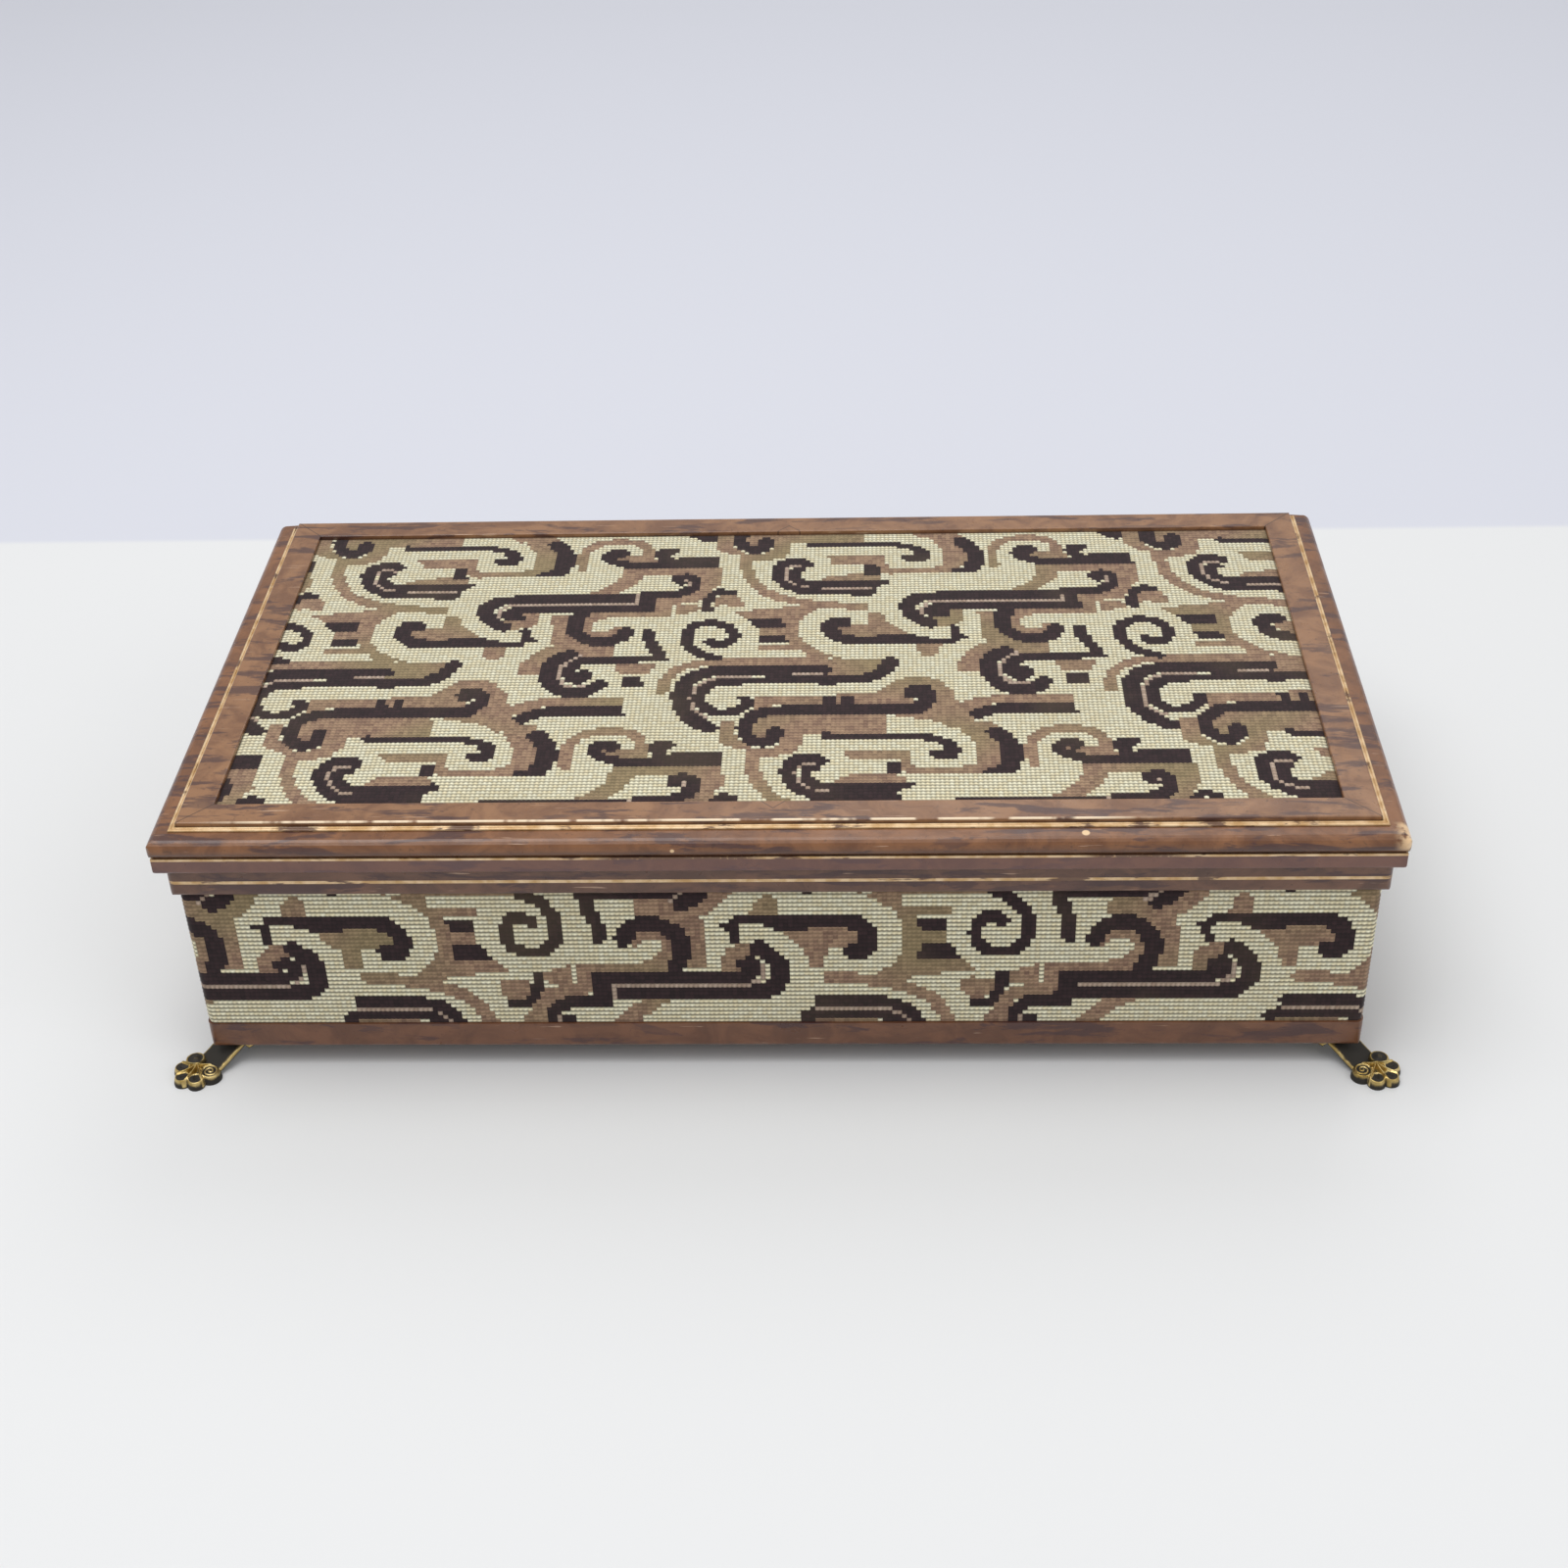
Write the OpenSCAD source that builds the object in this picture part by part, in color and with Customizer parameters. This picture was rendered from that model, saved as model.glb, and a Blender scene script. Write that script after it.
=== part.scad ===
// Brocade-covered keepsake box with a hinged, moulded lid on four cast scroll feet.
// Millimetres. X runs along the front, Y from front to back, Z up.
// The origin is on the resting plane, under the centre of the case.

/* [Case] */
// Width over the two brocade side walls
body_w = 296.2; // [220:0.1:400]
// Depth over the front and back brocade walls
body_d = 152.8; // [110:0.1:240]
// Height of the brocade wall between plinth and rim
wall_h = 42.8; // [25:0.1:110]
// Thickness of the wooden wall boards
board_t = 7; // [5:0.1:9]
// Thickness of the brocade glued round the walls
brocade_t = 0.8; // [0.4:0.1:1.4]
// Radius of the upright outer corners of the walls
wall_corner_r = 1.8; // [1.5:0.1:4]
// Thickness of the floor board
floor_t = 4; // [3:0.1:6]

/* [Plinth] */
// Height of the plinth mouldings
plinth_h = 8; // [6.5:0.1:14]
// Depth of the plinth mouldings, front to inside
plinth_depth = 14; // [13:0.1:20]
// How far the plinth stands proud of the brocade
plinth_proud = 0.3; // [0.1:0.1:1.5]
// Radius along the lower outer edge of the plinth
plinth_edge_r = 1.5; // [0.5:0.1:3]

/* [Rim] */
// Height of the rim mouldings round the mouth
rim_h = 8; // [7.6:0.1:12]
// How far the rim stands proud of the brocade
rim_proud = 1.6; // [1:0.1:3]
// Radius along the lower outer edge of the rim
rim_round_r = 1.4; // [0.5:0.1:2]
// Height of the gilt line above the rim's lower edge
rim_line_z = 3.9; // [2.8:0.1:5]
// Height of the gilt line itself
rim_line_h = 0.9; // [0.5:0.1:1.4]
// Depth of the grooves that hold the gilt lines
line_depth = 0.4; // [0.2:0.05:0.6]

/* [Lining] */
// Thickness of the velvet-covered lining cards
lining_t = 1.6; // [1:0.1:3]
// How far the lining stops below the top of the rim
lining_drop = 1; // [0.5:0.1:4]
// Thickness of the padded floor of the well
floor_pad_t = 3; // [1.5:0.1:6]
// Gap between lining parts that lie side by side
lining_gap = 0.3; // [0.1:0.05:0.6]
// Radius of the softened lining edges
lining_r = 0.6; // [0.3:0.1:0.9]

/* [Lid] */
// Gap between the rim and the closed lid
lid_gap = 0.4; // [0.3:0.05:1]
// Height of the lid mouldings under the plate frame
moulding_h = 10; // [9:0.1:14]
// Depth of the lid mouldings inside the edge of the plate
moulding_depth = 12; // [10:0.1:20]
// How far the rounded nose stands out from the edge of the plate
nose_out = 6.5; // [5.5:0.1:9]
// Radius of the rounded nose
nose_r = 2.6; // [2.3:0.05:3]
// How far the band steps back from the nose
band_step = 0.7; // [0.4:0.1:1.5]
// Radius of the two front corners of the nose, seen from above
nose_corner_r = 2; // [1:0.1:5]
// How far the plate edge lies inside the brocade walls at the front and sides
plate_inset = 2.1; // [1.5:0.1:4]
// How far the back of the rim and lid reach behind the back edge of the plate
back_ledge = 1.6; // [1:0.1:3]
// Thickness of the raised plate frame
plate_t = 1.6; // [1.2:0.1:3]
// Width of the plate frame members
frame_w = 8; // [6:0.1:20]
// Radius along the upper edges of the plate frame
frame_edge_r = 0.4; // [0.2:0.05:0.6]
// Thickness of the brocade laid into the plate frame
panel_t = 0.6; // [0.4:0.1:1]
// Thickness of the lid's wooden core board
core_t = 5; // [3:0.1:6]
// Thickness of the padded lining under the lid
lid_pad_t = 3; // [1.5:0.1:4]
// Width of the double gilt line round the plate
plate_line_w = 1.6; // [1:0.1:2.4]

/* [Hinges] */
// Distance of each hinge's middle from the middle of the box
hinge_x = 92; // [50:0.5:95]
// Length of each hinge
hinge_len = 32; // [24:0.5:44]
// Depth of the leaves in the wood
leaf_w = 7; // [6:0.1:7.6]
// Thickness of the leaves
leaf_t = 0.8; // [0.6:0.05:1]
// Radius of the knuckles
knuckle_r = 1.5; // [1.4:0.05:2]
// Radius of the hinge pins
pin_r = 0.75; // [0.6:0.05:0.9]
// Number of knuckles on each hinge
knuckles = 5; // [3:2:7]
// Angle at which the stop fins meet
stop_angle = 97; // [92:1:120]
// Length of the stop fins behind the knuckles
fin_len = 2.2; // [1.5:0.1:3]
// Radius of the hinge screws
hinge_screw_r = 0.9; // [0.7:0.05:1]
// Length of the hinge screws
hinge_screw_len = 6; // [4:0.1:7]
// Distance between neighbouring hinge screws
hinge_screw_pitch = 11; // [7:0.5:11.5]

/* [Feet] */
// Height of the case's underside above the resting plane
foot_h = 6.2; // [5:0.1:12]
// Width of the sloping strap of each foot
strap_w = 8.4; // [6:0.1:10]
// Thickness of the strap and its flange
strap_t = 1.3; // [0.9:0.05:1.8]
// Distance from the wall's corner to the tip of the paw
paw_reach = 12.5; // [10:0.1:18]
// Thickness of the paw at the rims of its lobes
paw_rim_h = 1.7; // [1.2:0.1:2.4]
// Radius of the two scroll lobes beside the strap
scroll_r = 2.8; // [2:0.1:3.4]
// Radius of the three toe lobes
toe_r = 2.3; // [1.6:0.1:2.8]
// Length of the flange under the plinth
flange_len = 13; // [10:0.1:16]
// Width of the flange under the plinth
flange_w = 12; // [11:0.1:16]
// Radius of the foot screws
foot_screw_r = 1; // [0.8:0.05:1.2]
// Length of the foot screws
foot_screw_len = 6; // [4:0.1:7]

/* [Hidden] */
CASE_NODES = ["front_board", "back_board", "left_board", "right_board", "floor_board", "wall_brocade",
    "plinth_front", "plinth_back", "plinth_left", "plinth_right",
    "rim_front", "rim_back", "rim_left", "rim_right", "rim_gilt_line",
    "foot_front_left", "foot_front_right", "foot_back_left", "foot_back_right", "foot_screws",
    "floor_pad", "lining_front", "lining_back", "lining_left", "lining_right",
    "hinge_left_lower_leaf", "hinge_right_lower_leaf", "hinge_left_pin", "hinge_right_pin",
    "lower_hinge_screws"];
LID_NODES = ["lid_core", "lid_moulding_front", "lid_moulding_left", "lid_moulding_right", "lid_back_rail",
    "lid_gilt_line", "plate_front", "plate_back", "plate_left", "plate_right", "plate_gilt_line",
    "lid_brocade", "lid_lining", "hinge_left_upper_leaf", "hinge_right_upper_leaf", "upper_hinge_screws"];
$fn = 48;

// Finishes, as the wood, cloth and metal show them
leather_col = [0.47, 0.33, 0.25];
plinth_col = [0.42, 0.27, 0.20];
brocade_col = [0.80, 0.76, 0.60];
gilt_col = [0.82, 0.70, 0.45];
wood_col = [0.76, 0.62, 0.44];
velvet_col = [0.45, 0.09, 0.12];
brass_col = [0.62, 0.52, 0.28];
arc_steps = 8;
over = 1;

// Heights, from the resting plane up
plinth_z = foot_h;
wall_z = plinth_z + plinth_h;
rim_z = wall_z + wall_h;
rim_top = rim_z + rim_h;
lid_z = rim_top + lid_gap;
shoulder_z = lid_z + moulding_h;
plate_top = shoulder_z + plate_t;
floor_z = wall_z - floor_t;
lining_top = rim_top - lining_drop;
core_z = shoulder_z - core_t;

// Half sizes and places in plan
wall_x = body_w / 2;
wall_y = body_d / 2;
board_x = wall_x - brocade_t;
board_y = wall_y - brocade_t;
inner_x = board_x - board_t;
inner_y = board_y - board_t;
well_x = inner_x - lining_t;
well_y = inner_y - lining_t;
plinth_x = wall_x + plinth_proud;
plinth_y = wall_y + plinth_proud;
rim_x = wall_x + rim_proud;
rim_y = wall_y + rim_proud;
rim_depth = rim_proud + brocade_t + board_t;
rim_corner_r = wall_corner_r;
plate_x = wall_x - plate_inset;
plate_front_y = -(wall_y - plate_inset);
back_y = rim_y;
plate_back_y = back_y - back_ledge;
plate_mid_y = (plate_front_y + plate_back_y) / 2;
plate_half_y = (plate_back_y - plate_front_y) / 2;
nose_x = plate_x + nose_out;
nose_front_y = plate_front_y - nose_out;
nose_mid_y = (nose_front_y + back_y) / 2;
nose_half_y = (back_y - nose_front_y) / 2;
moulding_w = nose_out + moulding_depth;
lid_inner_x = plate_x - moulding_depth;
lid_inner_front_y = plate_front_y + moulding_depth;
lid_inner_back_y = plate_back_y - moulding_depth;
lid_inner_mid_y = (lid_inner_front_y + lid_inner_back_y) / 2;
lid_inner_half_y = (lid_inner_back_y - lid_inner_front_y) / 2;

// Hinge places and clearances
knuckle_gap = 0.3;
leaf_proud = 0.1;
pin_clear = 0.05;
side_clear = 0.1;
end_gap = 0.2;
axis_y = rim_y + knuckle_gap + knuckle_r;
axis_z = (rim_top + lid_z) / 2;
lower_leaf_top = rim_top + leaf_proud;
upper_leaf_bottom = lid_z - leaf_proud;
leaf_front_y = rim_y - leaf_w;
leaf_screw_y = rim_y - leaf_w / 2;
knuckle_len = hinge_len / knuckles;
fin_t = 0.9;
fin_inset = 0.5;
head_ratio = 1.9;
screw_head_r = head_ratio * hinge_screw_r;
screw_clear = 0.05;
slot_w = 0.35;
slot_depth = 0.35;

// Foot places, along the corner's diagonal
scroll_s = 4;
scroll_side = 3.6;
toe_s = paw_reach - toe_r;
flank_s = toe_s - 2;
flank_side = 3.2;
fan_s = 5.4;
fan_r = 1.7;
strap_start = -6.5;
strap_foot = 2.6;
strap_heel = strap_foot - 1.2 * strap_t;
strap_bend = strap_start - 0.4 * strap_t;
flange_end = strap_start - flange_len;
foot_screw_s = -10.5;
foot_screw_side = 3.4;
foot_head_r = head_ratio * foot_screw_r;
foot_head_t = 0.8;
head_sink = foot_head_t / 2;
lobe_crown = 1.3;
crown_z = paw_rim_h + lobe_crown;
scroll_ring_r = 0.45;
rib_r = 0.5;
web_profile = [
    [0, -scroll_side], [0, scroll_side], [flank_s, flank_side], [toe_s, 0], [flank_s, -flank_side]];
CORNERS = [[-1, -1, 225], [1, -1, 315], [-1, 1, 135], [1, 1, 45]];

function arc(cx, cy, r, a0, a1) =
    [for (i = [0 : arc_steps]) let (a = a0 + (a1 - a0) * i / arc_steps) [cx + r * cos(a), cy + r * sin(a)]];

function rounded_rect(hx, hy, r) = concat(
    arc(hx - r, hy - r, r, 0, 90), arc(-hx + r, hy - r, r, 90, 180),
    arc(-hx + r, -hy + r, r, 180, 270), arc(hx - r, -hy + r, r, 270, 360));

function facing(points, dir) = [for (p = points) [dir * p[0], p[1]]];

// A profile drawn as [outward, up], run along X at a face whose outward side is dir
module run_x(profile, face_y, dir, x0, x1)
    translate([x0, face_y, 0]) rotate([90, 0, 90]) linear_extrude(x1 - x0) polygon(facing(profile, dir));

// The same, run along Y
module run_y(profile, face_x, dir, y0, y1)
    translate([face_x, y1, 0]) rotate([90, 0, 0]) linear_extrude(y1 - y0) polygon(facing(profile, dir));

module slab(x0, x1, y0, y1, z0, z1)
    translate([x0, y0, z0]) cube([x1 - x0, y1 - y0, z1 - z0]);

// The upright prism between two 45 degree mitres, on one side of a rectangle
module mitre_prism(side, hx, hy, mid_y, depth, z0, z1)
    translate([0, mid_y, z0]) linear_extrude(z1 - z0) polygon(
        side == "front" ? [[-hx, -hy], [hx, -hy], [hx - depth, depth - hy], [depth - hx, depth - hy]] :
        side == "back" ? [[-hx, hy], [hx, hy], [hx - depth, hy - depth], [depth - hx, hy - depth]] :
        side == "left" ? [[-hx, -hy], [-hx, hy], [depth - hx, hy - depth], [depth - hx, depth - hy]] :
        [[hx, -hy], [hx, hy], [hx - depth, hy - depth], [hx - depth, depth - hy]]);

// One mitred member of a frame whose outer faces lie at hx and hy
module frame_member(profile, side, hx, hy, mid_y, depth, corner_r, z0, z1) {
    intersection() {
        if (side == "front") run_x(profile, mid_y - hy, -1, -hx, hx);
        else if (side == "back") run_x(profile, mid_y + hy, 1, -hx, hx);
        else if (side == "left") run_y(profile, -hx, -1, mid_y - hy, mid_y + hy);
        else run_y(profile, hx, 1, mid_y - hy, mid_y + hy);
        mitre_prism(side, hx, hy, mid_y, depth, z0, z1);
        translate([0, mid_y, z0]) linear_extrude(z1 - z0) polygon(rounded_rect(hx, hy, corner_r));
    }
}

// Outer faces at 0, inside at -depth
plinth_profile = concat(
    [[-plinth_depth, plinth_z], [-plinth_depth, wall_z], [0, wall_z]],
    arc(-plinth_edge_r, plinth_z + plinth_edge_r, plinth_edge_r, 0, -90));
rim_line_low = rim_z + rim_line_z;
rim_line_profile = [
    [0, rim_line_low + rim_line_h], [-line_depth, rim_line_low + rim_line_h],
    [-line_depth, rim_line_low], [0, rim_line_low]];
rim_profile = concat(
    [[-rim_depth, rim_z], [-rim_depth, rim_top], [0, rim_top]],
    rim_line_profile,
    arc(-rim_round_r, rim_z + rim_round_r, rim_round_r, 0, -90));
plate_profile = concat(
    [[-frame_w, shoulder_z]],
    arc(frame_edge_r - frame_w, plate_top - frame_edge_r, frame_edge_r, 180, 90),
    arc(-frame_edge_r, plate_top - frame_edge_r, frame_edge_r, 90, 0),
    [[0, shoulder_z]]);

// The lid moulding, outward from the plate's edge: band, crevice, rounded nose, shoulder
crevice_angle = -62;
shoulder_angle = 74;
shoulder_fall = 0.3;
crevice_h = 0.2;
band_edge_r = 1.2;
lid_line_h = 0.6;
nose_c = [nose_out - nose_r, shoulder_z - shoulder_fall - nose_r * sin(shoulder_angle)];
crevice_x = nose_c[0] + nose_r * cos(crevice_angle);
band_top = nose_c[1] + nose_r * sin(crevice_angle) - crevice_h;
band_x = nose_out - band_step;
lid_line_profile = [
    [band_x, band_top - lid_line_h], [band_x - line_depth, band_top - lid_line_h],
    [band_x - line_depth, band_top], [band_x, band_top]];
moulding_profile = concat(
    [[-moulding_depth, shoulder_z], [-moulding_depth, lid_z]],
    arc(band_x - band_edge_r, lid_z + band_edge_r, band_edge_r, -90, 0),
    [for (i = [0 : 2]) lid_line_profile[i]],
    [[crevice_x, band_top]],
    arc(nose_c[0], nose_c[1], nose_r, crevice_angle, shoulder_angle),
    [[0, shoulder_z]]);

// The double gilt line lies on the shoulder against the plate, as two beads on one thin bed
line_bead_r = plate_line_w / 4;
line_bed = 0.1;
valley_angle = 20;
plate_line_profile = concat(
    [[0, shoulder_z]],
    arc(line_bead_r, shoulder_z + line_bed, line_bead_r, 180, valley_angle),
    arc(3 * line_bead_r, shoulder_z + line_bed, line_bead_r, 180 - valley_angle, 0),
    [[4 * line_bead_r, shoulder_z]]);

module leather() color(leather_col) children();
module wood() color(wood_col) children();
module velvet() color(velvet_col) children();
module brass() color(brass_col) children();
module gilt() color(gilt_col) children();

// Case boards
module rounded_block(x0, x1, y0, y1, z0, z1, hx, hy, r)
    intersection() {
        slab(x0, x1, y0, y1, z0, z1);
        translate([0, 0, z0]) linear_extrude(z1 - z0) polygon(rounded_rect(hx, hy, r));
    }
board_corner_r = wall_corner_r - brocade_t;
module long_board(dir) wood()
    rounded_block(-board_x, board_x, min(dir * inner_y, dir * board_y), max(dir * inner_y, dir * board_y),
        wall_z, rim_z, board_x, board_y, board_corner_r);
module end_board(dir) wood()
    slab(min(dir * inner_x, dir * board_x), max(dir * inner_x, dir * board_x),
        -inner_y, inner_y, wall_z, rim_z);
module front_board() long_board(-1);
module back_board() long_board(1);
module left_board() end_board(-1);
module right_board() end_board(1);

module floor_board() wood()
    slab(plinth_depth - plinth_x, plinth_x - plinth_depth, plinth_depth - plinth_y, plinth_y - plinth_depth,
        floor_z, wall_z);

// One strip of brocade wraps all four walls
module wall_brocade() color(brocade_col)
    translate([0, 0, wall_z]) linear_extrude(wall_h) difference() {
        polygon(rounded_rect(wall_x, wall_y, wall_corner_r));
        polygon(rounded_rect(board_x, board_y, board_corner_r));
    }

// Plinth, with a pilot hole for each foot screw
module plinth_member(side) color(plinth_col)
    difference() {
        frame_member(plinth_profile, side, plinth_x, plinth_y, 0, plinth_depth,
            wall_corner_r + plinth_proud, plinth_z, wall_z);
        for (c = CORNERS) at_corner(c) foot_screw_places()
            translate([0, 0, foot_h]) cylinder(r = foot_screw_r + screw_clear, h = foot_screw_len);
    }
module plinth_front() plinth_member("front");
module plinth_back() plinth_member("back");
module plinth_left() plinth_member("left");
module plinth_right() plinth_member("right");

// Rim, with mortises and pilot holes for the hinges at the back
module rim_member(side) leather()
    frame_member(rim_profile, side, rim_x, rim_y, 0, rim_depth, rim_corner_r, rim_z, rim_top);
module rim_front() rim_member("front");
module rim_left() rim_member("left");
module rim_right() rim_member("right");
module rim_back() difference() {
    rim_member("back");
    for (dir = [-1, 1]) {
        leaf_pocket(dir, lower_leaf_top - leaf_t, rim_top + over);
        for (x = hinge_screw_xs(dir)) translate([x, leaf_screw_y, lower_leaf_top - hinge_screw_len])
            cylinder(r = hinge_screw_r + screw_clear, h = hinge_screw_len);
    }
}
module rim_gilt_line() gilt()
    for (side = ["front", "back", "left", "right"])
        frame_member(rim_line_profile, side, rim_x, rim_y, 0, rim_depth, rim_corner_r, rim_z, rim_top);

// Velvet lining of the well
module floor_pad() velvet()
    translate([0, 0, wall_z]) linear_extrude(floor_pad_t)
        polygon(rounded_rect(well_x - lining_gap, well_y - lining_gap, lining_r));
lining_profile = concat(
    [[0, wall_z]],
    [[0, lining_top]],
    arc(lining_r - lining_t, lining_top - lining_r, lining_r, 90, 180),
    [[-lining_t, wall_z]]);
module lining_front() velvet() run_x(lining_profile, -inner_y, -1, -inner_x, inner_x);
module lining_back() velvet() run_x(lining_profile, inner_y, 1, -inner_x, inner_x);
module lining_left() velvet() run_y(lining_profile, -inner_x, -1, lining_gap - well_y, well_y - lining_gap);
module lining_right() velvet() run_y(lining_profile, inner_x, 1, lining_gap - well_y, well_y - lining_gap);

// Feet: a flange under the plinth, a sloping strap, and a paw of scrolls and toes
module at_corner(c)
    translate([c[0] * wall_x, c[1] * wall_y, 0]) rotate([0, 0, c[2]]) children();
module foot_screw_places()
    for (side = [-1, 1]) translate([foot_screw_s, side * foot_screw_side, 0]) children();
strap_profile = [
    [flange_end, foot_h - strap_t], [strap_bend, foot_h - strap_t],
    [strap_heel, 0], [strap_foot + strap_t, 0],
    [strap_foot, strap_t], [strap_start, foot_h], [flange_end, foot_h]];
module lobe(s, side, r)
    translate([s, side, 0]) rotate_extrude() polygon(concat(
        [[0, 0], [r, 0]],
        [for (p = arc(0, 0, 1, 0, 90)) [r * p[0], paw_rim_h + lobe_crown * p[1]]]));
module rib(s0, side0, s1, side1, z0, z1) {
    run = norm([s1 - s0, side1 - side0]);
    translate([s0, side0, z0]) rotate([0, 0, atan2(side1 - side0, s1 - s0)])
        rotate([0, 90 + atan2(z0 - z1, run), 0]) cylinder(r = rib_r, h = norm([run, z1 - z0]));
}
module foot_solid() {
    difference() {
        union() {
            translate([0, strap_w / 2, 0]) rotate([90, 0, 0]) linear_extrude(strap_w) polygon(strap_profile);
            translate([flange_end, -flange_w / 2, foot_h - strap_t]) cube([flange_len, flange_w, strap_t]);
        }
        foot_screw_places() translate([0, 0, foot_h - strap_t - over]) {
            cylinder(r = foot_screw_r + screw_clear, h = strap_t + 2 * over);
            cylinder(r = foot_head_r + screw_clear, h = over + head_sink);
        }
    }
    linear_extrude(paw_rim_h) polygon(web_profile);
    lobe(fan_s, 0, fan_r);
    lobe(toe_s, 0, toe_r);
    for (dir = [-1, 1]) {
        lobe(flank_s, dir * flank_side, toe_r);
        lobe(scroll_s, dir * scroll_side, scroll_r);
        translate([scroll_s, dir * scroll_side, crown_z - scroll_ring_r])
            rotate_extrude() translate([scroll_r / 2, 0]) circle(r = scroll_ring_r, $fn = 16);
        rib(fan_s, 0, toe_s, dir * flank_side / 2, crown_z - rib_r, paw_rim_h);
    }
}
module foot(i) brass() at_corner(CORNERS[i]) foot_solid();
module foot_front_left() foot(0);
module foot_front_right() foot(1);
module foot_back_left() foot(2);
module foot_back_right() foot(3);
module foot_screws() brass()
    for (c = CORNERS) at_corner(c) foot_screw_places()
        translate([0, 0, foot_h - strap_t + head_sink]) difference() {
            union() {
                translate([0, 0, -foot_head_t]) cylinder(r = foot_head_r, h = foot_head_t);
                cylinder(r = foot_screw_r, h = foot_screw_len);
            }
            translate([-foot_head_r, -slot_w / 2, -foot_head_t - over])
                cube([2 * foot_head_r, slot_w, slot_depth + over]);
        }

// Hinges: five knuckles on a pin, leaves let into rim and rail, and fins that stop the lid
function hinge_screw_xs(dir) = [for (i = [-1, 0, 1]) dir * hinge_x + i * hinge_screw_pitch];
module leaf_pocket(dir, z0, z1)
    slab(dir * hinge_x - hinge_len / 2 - side_clear, dir * hinge_x + hinge_len / 2 + side_clear,
        leaf_front_y - side_clear, rim_y + over, z0, z1);
module leaf_screw_holes(dir, z, up)
    for (x = hinge_screw_xs(dir)) translate([x, leaf_screw_y, z]) mirror([0, 0, up ? 0 : 1]) {
        translate([0, 0, -over]) cylinder(r = hinge_screw_r + screw_clear, h = leaf_t + 2 * over);
        cylinder(r1 = screw_head_r + screw_clear, r2 = hinge_screw_r + screw_clear, h = leaf_t);
    }
// The fin is a comb whose teeth reach into the leaf's own knuckles
module stop_fin(up)
    rotate([(up ? 1 : -1) * stop_angle / 2, 0, 0]) translate([0, 0, up ? 0 : -fin_t]) linear_extrude(fin_t) {
        translate([fin_inset - hinge_len / 2, knuckle_r + knuckle_gap])
            square([hinge_len - 2 * fin_inset, fin_len]);
        for (i = [(up ? 1 : 0) : 2 : knuckles - 1])
            translate([i * knuckle_len + 2 * fin_inset - hinge_len / 2, pin_r])
                square([knuckle_len - 4 * fin_inset, knuckle_r + knuckle_gap + fin_len / 2 - pin_r]);
    }
module leaf(dir, up) {
    own = up ? 1 : 0;
    z0 = up ? upper_leaf_bottom : lower_leaf_top - leaf_t;
    brass() difference() {
        union() {
            slab(dir * hinge_x - hinge_len / 2, dir * hinge_x + hinge_len / 2,
                leaf_front_y, rim_y - leaf_proud, z0, z0 + leaf_t);
            translate([dir * hinge_x, axis_y, axis_z]) stop_fin(up);
            for (i = [own : 2 : knuckles - 1])
                translate([dir * hinge_x + (i + 0.5) * knuckle_len - hinge_len / 2, 0, 0]) {
                    slab(end_gap / 2 - knuckle_len / 2, knuckle_len / 2 - end_gap / 2,
                        rim_y - leaf_proud, axis_y, z0, z0 + leaf_t);
                    translate([0, axis_y, axis_z]) rotate([0, 90, 0])
                        cylinder(r = knuckle_r, h = knuckle_len - end_gap, center = true);
                }
        }
        translate([dir * hinge_x, axis_y, axis_z]) rotate([0, 90, 0])
            cylinder(r = pin_r + pin_clear, h = hinge_len + 2 * over, center = true);
        leaf_screw_holes(dir, up ? z0 : z0 + leaf_t, up);
    }
}
module hinge_left_lower_leaf() leaf(-1, false);
module hinge_right_lower_leaf() leaf(1, false);
module hinge_left_upper_leaf() leaf(-1, true);
module hinge_right_upper_leaf() leaf(1, true);
module pin(dir) brass()
    translate([dir * hinge_x, axis_y, axis_z]) rotate([0, 90, 0])
        cylinder(r = pin_r, h = hinge_len, center = true);
module hinge_left_pin() pin(-1);
module hinge_right_pin() pin(1);

// Countersunk screw with its head flush at z = 0 and its shank upwards
module wood_screw(r, head_r, len)
    difference() {
        rotate_extrude() polygon(
            [[0, 0], [head_r, 0], [r, leaf_t], [r, len - 2 * r], [0, len - screw_clear]]);
        translate([-head_r, -slot_w / 2, -over]) cube([2 * head_r, slot_w, slot_depth + over]);
    }
module lower_hinge_screws() brass()
    for (dir = [-1, 1]) for (x = hinge_screw_xs(dir))
        translate([x, leaf_screw_y, lower_leaf_top]) mirror([0, 0, 1])
            wood_screw(hinge_screw_r, screw_head_r, hinge_screw_len);
module upper_hinge_screws() brass()
    for (dir = [-1, 1]) for (x = hinge_screw_xs(dir))
        translate([x, leaf_screw_y, upper_leaf_bottom])
            wood_screw(hinge_screw_r, screw_head_r, hinge_screw_len);

// Lid mouldings: the nose runs along the front and both sides, and the back is plain
module lid_core() wood()
    slab(-lid_inner_x, lid_inner_x, lid_inner_front_y, lid_inner_back_y, core_z, shoulder_z);
module front_run(profile, side)
    intersection() {
        if (side == "front") run_x(profile, plate_front_y, -1, -nose_x, nose_x);
        else run_y(profile, (side == "left" ? -1 : 1) * plate_x, side == "left" ? -1 : 1,
            nose_front_y, back_y);
        translate([0, 0, lid_z]) linear_extrude(moulding_h) front_plan(side);
        translate([0, nose_mid_y, lid_z]) linear_extrude(moulding_h) polygon(nose_plan());
    }
module front_plan(side)
    polygon(
        side == "front" ? [[-nose_x, nose_front_y], [nose_x, nose_front_y],
            [nose_x - moulding_w, nose_front_y + moulding_w],
            [moulding_w - nose_x, nose_front_y + moulding_w]] :
        facing([[nose_x, nose_front_y], [nose_x, back_y], [nose_x - moulding_w, back_y],
            [nose_x - moulding_w, nose_front_y + moulding_w]], side == "left" ? -1 : 1));
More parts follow.
